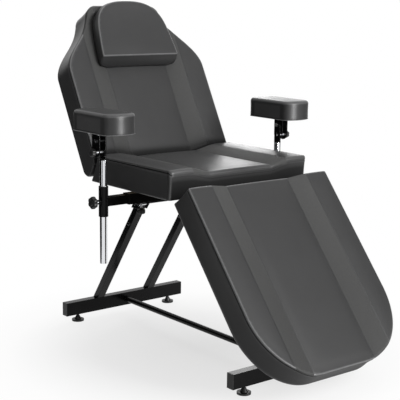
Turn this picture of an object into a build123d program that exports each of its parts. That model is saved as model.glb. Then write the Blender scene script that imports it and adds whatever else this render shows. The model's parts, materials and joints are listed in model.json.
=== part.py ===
from build123d import *
import math
import os

os.makedirs("parts", exist_ok=True)

# Tattoo chair: a fixed seat on an A-shaped steel base, a reclining backrest with a head pillow,
# a folding leg rest and two adjustable armrests. Millimetres. +Z up, the foot end towards -Y.
# Left is the -X side. Backrest and leg rest are drawn flat in their own frames, with the hinge
# axis at the origin and the length along +Y, and are then turned to their angles.

# Driving dimensions: the whole chair
cushion_width = 600.0
seat_height = 680.0
cushion_thickness = 100.0
backrest_angle = 62.0
legrest_drop_angle = 50.5
backrest_hinge_y = 298.0
legrest_hinge_y = -212.5
base_spread = 966.0

# Driving dimensions: steel tubes
rail_size = 30.0
rail_wall = 2.0
rail_spacing = 236.0
section_rail_gap = 14.0
section_rail_start = 18.0
seat_cross_inset = 46.0
backrest_frame_setback = 114.0
legrest_frame_setback = 133.0
first_cross_start = 70.0
beam_length = 540.0
beam_depth = 30.0
beam_height = 50.0
leg_width = 30.0
leg_top_spread = 330.0
tie_bar_diameter = 22.0
tie_rod_diameter = 8.0
end_cap_lip = 2.0
end_cap_plug = 14.0

# Driving dimensions: levelling glides
glide_disc_diameter = 46.0
glide_disc_height = 7.0
glide_cone_diameter = 26.0
glide_neck_diameter = 14.0
glide_cone_height = 13.0
glide_stud_diameter = 10.0
glide_stud_reach = 16.0
glide_clear_height = 28.0
glide_spacing = 428.0

# Driving dimensions: cushion cross-section
bolster_seam_spacing = 410.0
channel_seam_spacing = 268.0
channel_depth = 19.0
crown_rise = 3.0
side_draw_in = 3.0
edge_round = 9.0
board_thickness = 12.0
board_inset = 14.0

# Driving dimensions: seat cushion side view
seat_front_y = -206.0
seat_rear_bottom_y = 258.0
seat_rear_top_y = 214.0
seat_front_radius = 26.0
seat_rear_radius = 9.0

# Driving dimensions: backrest, measured from its hinge along the backrest
backrest_length = 634.0
backrest_face_start = 57.0
backrest_heel_start = 10.0
backrest_heel_height = 30.0
backrest_heel_back = 34.0
heel_round_share = 0.29

# Driving dimensions: backrest outline, as insets from its sides and setbacks from its head end
shoulder_start_setback = 254.0
shoulder_inset = 42.0
shoulder_setback = 170.0
neck_inset = 97.0
neck_setback = 110.0
crown_inset = 136.0
crown_setback = 40.0
head_edge_inset = 172.0

# Driving dimensions: leg rest, measured from its hinge along the leg rest
legrest_length = 673.0
legrest_face_start = -1.0
toe_curve_length = 224.0
toe_flat_width = 200.0

# Driving dimensions: head pillow, with setbacks from the backrest's head end
pillow_setback = 241.0
pillow_face_setback = 217.0
pillow_overhang = 7.0
pillow_width = 336.0
pillow_height = 54.0
pillow_round = 18.0
pillow_outline_shares = ((1.0, 0.0), (0.97, 0.3), (0.91, 0.52), (0.79, 0.74), (0.6, 0.9), (0.0, 1.0))
pillow_level_shares = ((0.0, 0.2), (0.35, 0.0), (0.75, 0.15), (0.93, 0.5), (1.0, 1.0))
strip_setback = 194.0
strip_width = 50.0
strip_length = 110.0
strip_thickness = 4.0
strip_offset_x = 62.0

# Driving dimensions: ratchet hinges
hinge_disc_diameter = 28.0
hinge_plate_thickness = 4.0
hinge_plate_height = 26.0
hinge_plate_length = 64.0
hinge_pin_diameter = 10.0
hinge_head_diameter = 16.0
hinge_head_height = 5.0
ratchet_diameter = 26.0
ratchet_tooth_depth = 2.5
ratchet_teeth = 18
ratchet_tooth_share = 0.15
pawl_pivot_distance = 42.0
pawl_width = 10.0
pawl_tip_height = 4.0
pawl_rivet_diameter = 6.0

# Driving dimensions: armrests
pole_gap = 89.0
arm_y = 42.0
arm_drop = 129.0
arm_size = 30.0
arm_inner_x = 160.0
socket_wall = 2.5
socket_inset = 2.0
sleeve_diameter = 32.0
sleeve_length = 100.0
pole_diameter = 25.0
pole_wall = 1.5
pole_reach_down = 210.0
pole_reach_up = 139.0
bush_wall = 1.5
bush_collar_height = 2.0
tilt_pivot_rise = 66.0
tilt_slot_radius = 38.0
tilt_angle = 20.0
pad_rise = 28.0
pad_length = 232.0
pad_width = 122.0
pad_height = 70.0
pad_end_bulge = 22.0
pad_corner_radius = 12.0
pad_shift_y = -5.0
pad_edge_round = 8.0
pad_board_thickness = 9.0
pad_board_inset = 9.0
bracket_thickness = 3.0
bracket_base_thickness = 4.0
bracket_base_length = 74.0
bracket_flange = 14.0
bracket_width = 44.0
bracket_ear_gap = 20.7
bracket_drop = 84.0
head_plate_thickness = 5.0
head_plate_width = 30.0
head_plug_length = 30.0
head_collar_height = 4.0

# Driving dimensions: hand knobs and fasteners
large_knob_diameter = 42.0
small_knob_diameter = 28.0
knob_thickness = 15.0
knob_hub_height = 5.0
knob_lobes = 6
knob_core_share = 0.72
knob_lobe_share = 0.27
knob_hub_share = 0.4
clamp_screw_diameter = 8.0
clamp_screw_show = 8.0
lock_screw_show = 16.0
lock_knob_inset = 65.0
weld_nut_diameter = 16.0
weld_nut_height = 5.0
bracket_sheet = 3.0
leg_bracket_height = 80.0
leg_bracket_foot = 48.0
leg_bracket_top = 60.0
leg_bolt_spacing = 27.0
leg_bolt_rise = 18.0
leg_bolt_diameter = 8.0
leg_bolt_head_diameter = 13.0
leg_bolt_head_height = 5.0
leg_side_bolt_drop = 275.0
leg_side_bolt_diameter = 6.0
screw_diameter = 6.0
screw_head_diameter = 11.0
screw_head_height = 3.5
screw_bite = 8.0
seat_screw_gap = 30.0
pad_screw_diameter = 4.0
pad_screw_head_diameter = 8.0
pad_screw_head_height = 2.5
pad_screw_bite = 6.0
pivot_spacer_wall = 2.0

# Clearances
running_clearance = 0.08
slide_clearance = 0.5
part_clearance = 0.3
overrun = 10.0

# Places that follow from the dimensions above
hinge_z = seat_height - cushion_thickness - rail_size / 2
cushion_low = rail_size / 2
cushion_top = cushion_low + cushion_thickness
rail_bottom_z = hinge_z - rail_size / 2
seat_bottom_z = seat_height - cushion_thickness
half_width = cushion_width / 2
shoulder_start = backrest_length - shoulder_start_setback
shoulder_x = half_width - shoulder_inset
shoulder_y = backrest_length - shoulder_setback
neck_x = half_width - neck_inset
neck_y = backrest_length - neck_setback
crown_x = half_width - crown_inset
crown_y = backrest_length - crown_setback
crown_half_width = half_width - head_edge_inset
toe_curve_start = legrest_length - toe_curve_length
backrest_frame_end = backrest_length - backrest_frame_setback
legrest_frame_end = legrest_length - legrest_frame_setback
pillow_start = backrest_length - pillow_setback
pillow_face_start = backrest_length - pillow_face_setback
pillow_end = backrest_length + pillow_overhang
strip_start = backrest_length - strip_setback
pole_offset_x = half_width + pole_gap
arm_z = seat_height - arm_drop
pole_bottom_z = arm_z - pole_reach_down
pole_top_z = arm_z + pole_reach_up
tilt_pivot_z = pole_top_z + tilt_pivot_rise
pad_bottom_z = tilt_pivot_z + pad_rise
socket_reach = half_width - socket_inset
lock_knob_x = half_width - lock_knob_inset
leg_side_bolt_z = seat_height - leg_side_bolt_drop
beam_y = base_spread / 2
beam_top_z = glide_clear_height + beam_height
rail_x = rail_spacing / 2
rail_inner_x = rail_x - rail_size / 2
rail_outer_x = rail_x + rail_size / 2
section_rail_inner_x = rail_outer_x + section_rail_gap
section_rail_outer_x = section_rail_inner_x + rail_size
section_rail_x = (section_rail_inner_x + section_rail_outer_x) / 2
leg_top_y = leg_top_spread / 2
leg_top_z = rail_bottom_z - bracket_sheet
leg_slope = (beam_y - leg_top_y) / (leg_top_z - beam_top_z)
bracket_foot_z = rail_bottom_z - leg_bracket_height
leg_bolt_z = bracket_foot_z + leg_bolt_rise
bracket_inner_x = rail_x - leg_width / 2 - bracket_sheet
bracket_outer_x = rail_x + leg_width / 2 + bracket_sheet
socket_size = arm_size + 2 * slide_clearance + 2 * socket_wall
ear_inner_x = pole_offset_x + head_plate_thickness / 2 + part_clearance
ear_outer_x = ear_inner_x + bracket_thickness + bracket_ear_gap
tilt_screw_z = tilt_pivot_z - tilt_slot_radius
pad_y = arm_y + pad_shift_y
bush_outer_radius = pole_diameter / 2 + running_clearance + bush_wall
sleeve_bore_radius = bush_outer_radius + running_clearance
sleeve_low_z = arm_z - sleeve_length / 2
sleeve_top_z = arm_z + sleeve_length / 2
seat_rail_front_y = legrest_hinge_y + section_rail_start
seat_rail_rear_y = backrest_hinge_y - section_rail_start


def block(x_span, y_span, z_span):
    """A rectangular block between the given coordinates."""
    spans = (x_span, y_span, z_span)
    size = [high - low for low, high in spans]
    centre = [(low + high) / 2 for low, high in spans]
    return Pos(*centre) * Box(*size)


def box_tube(spans, wall, along):
    """A rectangular tube that fills three spans and is open along one of them."""
    inner = [(low + wall, high - wall) for low, high in spans]
    inner[along] = spans[along]
    return block(*spans) - block(*inner)


def bar(radius, start, end):
    """A round bar between two points."""
    line = Vector(*end) - Vector(*start)
    return extrude(Plane(origin=start, z_dir=line.normalized()) * Circle(radius), line.length)


def bar_x(radius, y, z, x_span):
    """A round bar across the chair."""
    return bar(radius, (x_span[0], y, z), (x_span[1], y, z))


def bar_z(radius, x, y, z_span):
    """An upright round bar."""
    return bar(radius, (x, y, z_span[0]), (x, y, z_span[1]))


def side_plate(edges, x_span):
    """A plate across the chair whose side view, as (y, z) edges, is closed."""
    return extrude(Plane.YZ.offset(x_span[0]) * make_face(edges), x_span[1] - x_span[0])


def side_polygon(points, x_span):
    """A plate across the chair whose side view has the given (y, z) corners."""
    return side_plate(Polyline(*points, close=True), x_span)


def mirrored(shape):
    """The same piece on the other side of the chair."""
    return mirror(shape, about=Plane.YZ)


def turned(shape):
    """The same piece at the other end of the base."""
    return mirror(shape, about=Plane.XZ)


def group(*shapes):
    """Several separate pieces in one node."""
    return Compound([solid for shape in shapes for solid in shape.solids()])


def pair(shape):
    """Equal pieces on both sides of the chair."""
    return group(shape, mirrored(shape))


def on_backrest(shape):
    """Turns a piece from the backrest's own frame into place."""
    return Pos(0, backrest_hinge_y, hinge_z) * Rot(backrest_angle, 0, 0) * shape


def on_legrest(shape):
    """Turns a piece from the leg rest's own frame into place."""
    return Pos(0, legrest_hinge_y, hinge_z) * Rot(legrest_drop_angle, 0, 0) * Rot(0, 0, 180) * shape


# Cushion shapes

def sewn_prism(y_span, z_low, z_top):
    """Fills the space under a sewn face: crowned bolsters, sloping strips, a lower centre."""
    seam_x = bolster_seam_spacing / 2
    channel_x = channel_seam_spacing / 2
    wide_x = half_width + overrun
    bolster_x = (half_width + seam_x) / 2
    seam_z = z_top - crown_rise
    channel_z = z_top - channel_depth
    middle_z = channel_z + crown_rise
    edges = [
        Line((-wide_x, z_low), (-wide_x, seam_z)),
        Line((-wide_x, seam_z), (-half_width, seam_z)),
        ThreePointArc((-half_width, seam_z), (-bolster_x, z_top), (-seam_x, seam_z)),
        Line((-seam_x, seam_z), (-channel_x, channel_z)),
        ThreePointArc((-channel_x, channel_z), (0, middle_z), (channel_x, channel_z)),
        Line((channel_x, channel_z), (seam_x, seam_z)),
        ThreePointArc((seam_x, seam_z), (bolster_x, z_top), (half_width, seam_z)),
        Line((half_width, seam_z), (wide_x, seam_z)),
        Line((wide_x, seam_z), (wide_x, z_low)),
        Line((wide_x, z_low), (-wide_x, z_low)),
    ]
    return extrude(Plane.XZ.offset(-y_span[1]) * make_face(edges), y_span[1] - y_span[0])


def cushion_body(outline, low):
    """A cushion with drawn-in sides and rounded edges over its outline."""
    levels = [
        (0, edge_round / 2),
        (edge_round, 0),
        (cushion_thickness / 2, side_draw_in),
        (cushion_thickness - edge_round, 0),
        (cushion_thickness - edge_round / 3, edge_round / 3),
        (cushion_thickness, edge_round),
    ]
    return loft([outline(inset, low + height) for height, inset in levels], ruled=True)


def seat_outline(inset, z):
    """The seat seen from above."""
    x = half_width - inset
    front_y = seat_front_y + inset
    rear_y = seat_rear_bottom_y - inset
    corners = [(-x, front_y), (x, front_y), (x, rear_y), (-x, rear_y)]
    return Plane.XY.offset(z) * make_face(Polyline(*corners, close=True))


def seat_side_view():
    """Rounds the seat's front edge and slants its rear end."""
    slant = math.atan2(seat_rear_bottom_y - seat_rear_top_y, cushion_thickness)
    front_y = seat_front_y + seat_front_radius
    front_z = seat_height - seat_front_radius
    rear_run = seat_rear_radius * math.tan((math.pi / 2 - slant) / 2)
    rear_flat_y = seat_rear_top_y - rear_run
    rear_y = seat_rear_top_y + rear_run * math.sin(slant)
    rear_z = seat_height - rear_run * math.cos(slant)
    edges = [
        Line((seat_rear_bottom_y, seat_bottom_z), (seat_front_y, seat_bottom_z)),
        Line((seat_front_y, seat_bottom_z), (seat_front_y, front_z)),
        RadiusArc((seat_front_y, front_z), (front_y, seat_height), seat_front_radius),
        Line((front_y, seat_height), (rear_flat_y, seat_height)),
        RadiusArc((rear_flat_y, seat_height), (rear_y, rear_z), seat_rear_radius),
        Line((rear_y, rear_z), (seat_rear_bottom_y, seat_bottom_z)),
    ]
    return side_plate(edges, (-half_width - overrun, half_width + overrun))


def backrest_outline(inset, z):
    """The backrest seen from its front: square shoulders that narrow to the head end."""
    lean = inset / math.sqrt(2)
    side_x = half_width - inset
    low_y = backrest_heel_start
    top_y = backrest_length - inset
    shoulder = (shoulder_x - lean, shoulder_y - lean)
    neck = (neck_x - lean, neck_y - lean)
    crown = (crown_x - inset, crown_y)
    head = (crown_half_width - lean, top_y)
    corner = (crown[0] + (head[0] - crown[0]) / 4, top_y - (top_y - crown_y) / 4)
    rise = crown_x - neck_x
    right = [
        Line((side_x, low_y), (side_x, shoulder_start)),
        Spline((side_x, shoulder_start), shoulder, neck, crown,
               tangents=((0, 1), (rise, 2 * (crown_y - neck_y)))),
        ThreePointArc(crown, corner, head),
    ]
    left = [mirror(edge, about=Plane.YZ) for edge in right]
    ends = [Line((-side_x, low_y), (side_x, low_y)), Line(head, (-head[0], head[1]))]
    return Plane.XY.offset(z) * make_face(right + left + ends)


def backrest_side_view():
    """Slants and rounds the backrest's lower end so that it clears the seat."""
    far_y = backrest_length + overrun
    heel_run = backrest_heel_back - backrest_heel_start
    mid_y = backrest_heel_start + heel_run * heel_round_share
    mid_z = cushion_low + backrest_heel_height * heel_round_share
    heel_z = cushion_low + backrest_heel_height
    slant_share = edge_round / (cushion_top - heel_z)
    slant_y = backrest_face_start - (backrest_face_start - backrest_heel_start) * slant_share
    slant_z = cushion_top - edge_round
    round_y = backrest_face_start + edge_round / 2
    edges = [
        Line((far_y, cushion_low), (backrest_heel_back, cushion_low)),
        ThreePointArc((backrest_heel_back, cushion_low), (mid_y, mid_z), (backrest_heel_start, heel_z)),
        Line((backrest_heel_start, heel_z), (slant_y, slant_z)),
        Line((slant_y, slant_z), (round_y, cushion_top)),
        Line((round_y, cushion_top), (far_y, cushion_top)),
        Line((far_y, cushion_top), (far_y, cushion_low)),
    ]
    return side_plate(edges, (-half_width - overrun, half_width + overrun))


def legrest_outline(inset, z):
    """The leg rest seen from its front: straight sides and a rounded foot end."""
    side_x = half_width - inset
    start_y = legrest_face_start + inset
    flat_x = toe_flat_width / 2
    x_radius = side_x - flat_x
    y_radius = legrest_length - toe_curve_start - inset
    end_y = toe_curve_start + y_radius
    edges = [
        Line((side_x, start_y), (side_x, toe_curve_start)),
        EllipticalCenterArc((flat_x, toe_curve_start), x_radius, y_radius, start_angle=0, arc_size=90),
        Line((flat_x, end_y), (-flat_x, end_y)),
        EllipticalCenterArc((-flat_x, toe_curve_start), x_radius, y_radius, start_angle=90, arc_size=90),
        Line((-side_x, toe_curve_start), (-side_x, start_y)),
        Line((-side_x, start_y), (side_x, start_y)),
    ]
    return Plane.XY.offset(z) * make_face(edges)


# Screws

def upright_screws(places, z_span, diameter, head_diameter, head_height, clearance):
    """Pan-head screws driven upwards at (x, y) places, or the holes for them."""
    screws = []
    for x, y in places:
        shank = bar_z(diameter / 2 + clearance, x, y, (z_span[0], z_span[1] + clearance))
        head = bar_z(head_diameter / 2, x, y, (z_span[0] - head_height, z_span[0]))
        screws.append(shank + head)
    return group(*screws)


def board_screws(places, low, clearance):
    """The screws that rise through a rail into a board."""
    z_span = (low, low + rail_size + screw_bite)
    return upright_screws(places, z_span, screw_diameter, screw_head_diameter, screw_head_height, clearance)


# Base

def foot_beam():
    """One crosswise foot beam with weld nuts for its two glides."""
    half = beam_length / 2
    spans = ((-half, half), (beam_y - beam_depth / 2, beam_y + beam_depth / 2), (glide_clear_height, beam_top_z))
    beam = box_tube(spans, rail_wall, 0)
    floor_z = glide_clear_height + rail_wall
    stud_radius = glide_stud_diameter / 2 + running_clearance
    for side in (-1, 1):
        x = side * glide_spacing / 2
        nut = bar_z(weld_nut_diameter / 2, x, beam_y, (floor_z, floor_z + weld_nut_height))
        hole = bar_z(stud_radius, x, beam_y, (glide_clear_height - overrun, floor_z + overrun))
        beam = beam + nut - hole
    return beam


def foot_end_caps():
    """Plastic plugs in the open ends of the foot beams."""
    end_x = beam_length / 2
    low_y = beam_y - beam_depth / 2
    high_y = beam_y + beam_depth / 2
    inset = rail_wall + part_clearance
    lip = block((end_x, end_x + end_cap_lip), (low_y, high_y), (glide_clear_height, beam_top_z))
    plug = block((end_x - end_cap_plug, end_x), (low_y + inset, high_y - inset),
                 (glide_clear_height + inset, beam_top_z - inset))
    ends = pair(lip + plug)
    return group(ends, turned(ends))


def glide(side, end):
    """One levelling glide: a plastic foot on a threaded stud."""
    upwards = (Align.CENTER, Align.CENTER, Align.MIN)
    disc = Cylinder(glide_disc_diameter / 2, glide_disc_height, align=upwards)
    cone = Cone(glide_cone_diameter / 2, glide_neck_diameter / 2, glide_cone_height, align=upwards)
    stud = bar_z(glide_stud_diameter / 2, 0, 0, (glide_disc_height, glide_clear_height + glide_stud_reach))
    foot = disc + Pos(0, 0, glide_disc_height) * cone + stud
    return Pos(side * glide_spacing / 2, end * beam_y, 0) * foot


def tie_bar():
    """The round tube that joins the two foot beams near the floor."""
    reach = beam_y - beam_depth / 2
    z = glide_clear_height + beam_height / 2
    outer = bar(tie_bar_diameter / 2, (0, -reach, z), (0, reach, z))
    return outer - bar(tie_bar_diameter / 2 - rail_wall, (0, -reach, z), (0, reach, z))


def leg_y(z):
    """How far from the middle of the base a leg's centre line is at a height."""
    return leg_top_y + (leg_top_z - z) * leg_slope


def leg():
    """One slanted leg tube, from a foot beam up to the bracket under the seat rail."""
    half_width_x = leg_width / 2
    inner_width_x = half_width_x - rail_wall
    half_depth = beam_depth / 2
    inner_depth = half_depth - rail_wall * math.hypot(1, leg_slope)

    def corners(depth):
        return [(beam_y - depth, beam_top_z), (beam_y + depth, beam_top_z),
                (leg_top_y + depth, leg_top_z), (leg_top_y - depth, leg_top_z)]

    outer = side_polygon(corners(half_depth), (rail_x - half_width_x, rail_x + half_width_x))
    return outer - side_polygon(corners(inner_depth), (rail_x - inner_width_x, rail_x + inner_width_x))


def leg_bolt_places():
    """Side-view places of the two bolts through a leg bracket."""
    centre_y = leg_y(leg_bolt_z)
    return [(centre_y + side * leg_bolt_spacing / 2, leg_bolt_z) for side in (-1, 1)]


def without_bolt_holes(shape):
    """Drills a leg or a bracket for its two bolts."""
    for y, z in leg_bolt_places():
        shape = shape - bar_x(leg_bolt_diameter / 2 + running_clearance, y, z, (0, half_width))
    return shape


def rear_legs():
    """The two rear legs."""
    hole_radius = leg_side_bolt_diameter / 2 + running_clearance
    hole = bar_x(hole_radius, leg_y(leg_side_bolt_z), leg_side_bolt_z, (0, half_width))
    return pair(without_bolt_holes(leg()) - hole)


def front_legs():
    """The two front legs."""
    return turned(pair(without_bolt_holes(leg())))


def leg_bracket():
    """A folded steel bracket that hangs from a seat rail and holds a leg between its sides."""
    foot_y = leg_y(bracket_foot_z)
    top = leg_bracket_top / 2
    foot = leg_bracket_foot / 2
    corners = [(leg_top_y - top, rail_bottom_z), (leg_top_y + top, rail_bottom_z),
               (foot_y + foot, bracket_foot_z), (foot_y - foot, bracket_foot_z)]
    outer = side_polygon(corners, (bracket_inner_x, bracket_outer_x))
    hollow_x = (bracket_inner_x + bracket_sheet, bracket_outer_x - bracket_sheet)
    hollow = block(hollow_x, (0, beam_y), (bracket_foot_z - overrun, leg_top_z))
    return without_bolt_holes(outer - hollow)


def cross_bolt(y, z, x_span, diameter, head_diameter, head_height):
    """A bolt across a leg with a round head at its outer end and a nut at its inner end."""
    nut_x = x_span[0] - head_height
    shank = bar_x(diameter / 2, y, z, (nut_x, x_span[1] + head_height))
    head = bar_x(head_diameter / 2, y, z, (x_span[1], x_span[1] + head_height))
    nut = extrude(Plane(origin=(nut_x, y, z), z_dir=(1, 0, 0)) * RegularPolygon(head_diameter / 2, 6), head_height)
    return shank + head + nut


def leg_bolts():
    """The bolts of the four leg brackets and the two side bolts of the rear legs."""
    bracket_span = (bracket_inner_x, bracket_outer_x)
    bolts = [cross_bolt(y, z, bracket_span, leg_bolt_diameter, leg_bolt_head_diameter, leg_bolt_head_height)
             for y, z in leg_bolt_places()]
    ends = pair(group(*bolts))
    leg_span = (rail_x - leg_width / 2, rail_x + leg_width / 2)
    side_bolt = cross_bolt(leg_y(leg_side_bolt_z), leg_side_bolt_z, leg_span, leg_side_bolt_diameter,
                           screw_head_diameter, screw_head_height)
    return group(ends, turned(ends), pair(side_bolt))


def leg_tie_rod():
    """The thin rod between the brackets of the rear legs."""
    return bar_x(tie_rod_diameter / 2, leg_y(leg_bolt_z), leg_bolt_z, (-bracket_inner_x, bracket_inner_x))


def socket_spans():
    """The outside of the crosswise tube that the arms slide in."""
    half = socket_size / 2
    return ((-socket_reach, socket_reach), (arm_y - half, arm_y + half), (arm_z - half, arm_z + half))


def arm_cross_tube():
    """The crosswise tube under the seat, with a weld nut for each lock screw."""
    tube = box_tube(socket_spans(), socket_wall, 0)
    low_z = arm_z - socket_size / 2
    for side in (-1, 1):
        x = side * lock_knob_x
        nut = bar_z(weld_nut_diameter / 2, x, arm_y, (low_z - weld_nut_height, low_z))
        hole = bar_z(clamp_screw_diameter / 2 + running_clearance, x, arm_y, (low_z - weld_nut_height, arm_z))
        tube = tube + nut - hole
    return tube


def seat_screw_places():
    """Places of the four screws that hold the seat board."""
    front_y = seat_screw_gap + leg_bracket_top / 2 - leg_top_y
    rear_y = seat_screw_gap + leg_bracket_top / 2 + leg_top_y
    return [(side * rail_x, y) for side in (-1, 1) for y in (front_y, rear_y)]


def seat_frame():
    """Two lengthwise rails, saddled over the arm tube, and two crosswise rails."""
    z_span = (rail_bottom_z, seat_bottom_z)
    rail = box_tube(((rail_inner_x, rail_outer_x), (seat_rail_front_y, seat_rail_rear_y), z_span), rail_wall, 1)
    rail = rail - block(*socket_spans())
    for x, y in seat_screw_places():
        rail = rail - bar_z(screw_diameter / 2 + running_clearance, abs(x), y, z_span)
    crosses = []
    for y in (seat_rail_front_y + seat_cross_inset, seat_rail_rear_y - seat_cross_inset):
        spans = ((-rail_inner_x, rail_inner_x), (y - rail_size / 2, y + rail_size / 2), z_span)
        crosses.append(box_tube(spans, rail_wall, 0))
    return group(pair(rail), *crosses)


def seat_board_block():
    """The space of the plywood board in the seat cushion's underside."""
    half = half_width - board_inset
    y_span = (seat_front_y + board_inset, seat_rear_bottom_y - board_inset)
    return block((-half, half), y_span, (seat_bottom_z, seat_bottom_z + board_thickness))


def seat_board():
    """The plywood board under the seat cushion."""
    return seat_board_block() - board_screws(seat_screw_places(), rail_bottom_z, running_clearance)


def seat_cushion():
    """The seat cushion, pulled over its board."""
    y_span = (seat_front_y - overrun, seat_rear_bottom_y + overrun)
    sewn = sewn_prism(y_span, seat_bottom_z - overrun, seat_height)
    body = cushion_body(seat_outline, seat_bottom_z) & sewn
    return (body & seat_side_view()) - seat_board_block()


# Ratchet hinges, drawn with the hinge axis at the origin and the seat towards +Y

def hinge_fixed_plate():
    """The plate on the seat rail that carries the hinge pin and the pawl."""
    x_span = (rail_outer_x, rail_outer_x + hinge_plate_thickness)
    half = hinge_plate_height / 2
    plate = bar_x(hinge_disc_diameter / 2, 0, 0, x_span) + block(x_span, (0, hinge_plate_length), (-half, half))
    pin_hole = bar_x(hinge_pin_diameter / 2 + running_clearance, 0, 0, x_span)
    rivet_hole = bar_x(pawl_rivet_diameter / 2 + running_clearance, pawl_pivot_distance, 0, x_span)
    return plate - pin_hole - rivet_hole


def hinge_pawl():
    """The catch that holds the ratchet, and the rivet that it turns on."""
    plate_x = rail_outer_x + hinge_plate_thickness
    far_x = section_rail_inner_x - hinge_plate_thickness - part_clearance
    half = pawl_width / 2
    tip_y = ratchet_diameter / 2 + part_clearance
    corners = [(tip_y, 0), (tip_y, pawl_tip_height), (pawl_pivot_distance, half), (pawl_pivot_distance, -half)]
    arm = side_polygon(corners, (plate_x, far_x)) + bar_x(half, pawl_pivot_distance, 0, (plate_x, far_x))
    hole = bar_x(pawl_rivet_diameter / 2 + running_clearance, pawl_pivot_distance, 0, (plate_x, far_x))
    rivet = bar_x(pawl_rivet_diameter / 2, pawl_pivot_distance, 0, (rail_outer_x, far_x))
    return group(arm - hole, rivet)


def hinge_pin():
    """The hinge bolt, with its head outside the moving plate and its nut inside."""
    nut_x = rail_outer_x - hinge_head_height
    head_x = section_rail_inner_x + part_clearance
    shank = bar_x(hinge_pin_diameter / 2, 0, 0, (nut_x, head_x))
    head = bar_x(hinge_head_diameter / 2, 0, 0, (head_x, head_x + hinge_head_height))
    flat = Plane(origin=(nut_x, 0, 0), z_dir=(1, 0, 0))
    nut = extrude(flat * RegularPolygon(hinge_head_diameter / 2, 6), hinge_head_height)
    return shank + head + nut


def ratchet_outline():
    """The saw-tooth rim of the ratchet, as (y, z) corners."""
    tip_radius = ratchet_diameter / 2
    root_radius = tip_radius - ratchet_tooth_depth
    pitch = 2 * math.pi / ratchet_teeth
    points = []
    for tooth in range(ratchet_teeth):
        root_angle = tooth * pitch
        tip_angle = (tooth + ratchet_tooth_share) * pitch
        points.append((root_radius * math.cos(root_angle), root_radius * math.sin(root_angle)))
        points.append((tip_radius * math.cos(tip_angle), tip_radius * math.sin(tip_angle)))
    return points


def hinge_moving_plate():
    """The plate on a section rail with its ratchet, in the section's own frame."""
    x_span = (section_rail_inner_x - hinge_plate_thickness, section_rail_inner_x)
    half = hinge_plate_height / 2
    plate = bar_x(hinge_disc_diameter / 2, 0, 0, x_span) + block(x_span, (0, hinge_plate_length), (-half, half))
    ratchet_x = rail_outer_x + hinge_plate_thickness + part_clearance
    ratchet = side_polygon(ratchet_outline(), (ratchet_x, x_span[0]))
    return plate + ratchet - bar_x(hinge_pin_diameter / 2 + running_clearance, 0, 0, (ratchet_x, x_span[1]))


def at_hinges(shape):
    """A fixed hinge piece at both hinge axes, on both sides of the chair."""
    rear = Pos(0, backrest_hinge_y, hinge_z) * turned(shape)
    front = Pos(0, legrest_hinge_y, hinge_z) * shape
    return group(pair(rear), pair(front))


# Backrest and leg rest, in their own frames

def section_screw_places(end):
    """Places of the six board screws along both rails of a section."""
    first = first_cross_start + rail_size
    step = (end - rail_size - first) / 2
    return [(side * section_rail_x, first + index * step) for side in (-1, 1) for index in range(3)]


def section_frame(end):
    """Two side rails with three crosswise rails between them."""
    z_span = (-rail_size / 2, rail_size / 2)
    rail_spans = ((section_rail_inner_x, section_rail_outer_x), (section_rail_start, end), z_span)
    rail = box_tube(rail_spans, rail_wall, 1)
    for x, y in section_screw_places(end):
        rail = rail - bar_z(screw_diameter / 2 + running_clearance, abs(x), y, z_span)
    step = (end - first_cross_start - rail_size) / 2
    crosses = []
    for index in range(3):
        y = first_cross_start + index * step
        spans = ((-section_rail_inner_x, section_rail_inner_x), (y, y + rail_size), z_span)
        crosses.append(box_tube(spans, rail_wall, 0))
    return group(pair(rail), *crosses)


def section_board_block(outline, start):
    """The space of a section's plywood board, set back from the cushion's outline."""
    board = extrude(outline(board_inset, cushion_low), board_thickness)
    below = block((-cushion_width, cushion_width), (-overrun, start + board_inset), (0, cushion_top))
    return board - below


def section_cushion(outline, length, board_block):
    """The sewn cushion of a section, pulled over its board."""
    sewn = sewn_prism((legrest_face_start - overrun, length + overrun), cushion_low - overrun, cushion_top)
    return (cushion_body(outline, cushion_low) & sewn) - board_block


def pillow_outline(height_share, inset, z):
    """The pillow seen from its front: a straight lower edge under a round head end."""
    start = pillow_start + (pillow_face_start - pillow_start) * height_share + inset / 2
    half = pillow_width / 2 - inset
    length = pillow_end - inset - start
    points = [(half * x, start + length * y) for x, y in pillow_outline_shares]
    right = Spline(*points, tangents=((0, 1), (-1, 0)))
    left = mirror(right, about=Plane.YZ)
    return Plane.XY.offset(z) * make_face([right, left, Line((-half, start), (half, start))])


def face_prism(clearance):
    """The space under the backrest's sewn face with a clearance over it."""
    return sewn_prism((0, backrest_length + overrun), 0, cushion_top + clearance)


def pillow_strips():
    """Hook-and-loop strips that hold the pillow on the sewn face."""
    half = strip_width / 2
    top_z = cushion_top - channel_depth + crown_rise + strip_thickness
    y_span = (strip_start, strip_start + strip_length)
    strip = block((strip_offset_x - half, strip_offset_x + half), y_span, (0, top_z))
    return pair(strip - face_prism(0))


def head_pillow():
    """The small head pillow."""
    low = cushion_top - channel_depth
    sections = []
    for height_share, inset_share in pillow_level_shares:
        z = low + pillow_height * height_share
        sections.append(pillow_outline(height_share, pillow_round * inset_share, z))
    body = loft(sections, ruled=True) - face_prism(part_clearance)
    for strip in pillow_strips().solids():
        body = body - strip
    return body


# Armrests, drawn on the +X side

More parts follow.
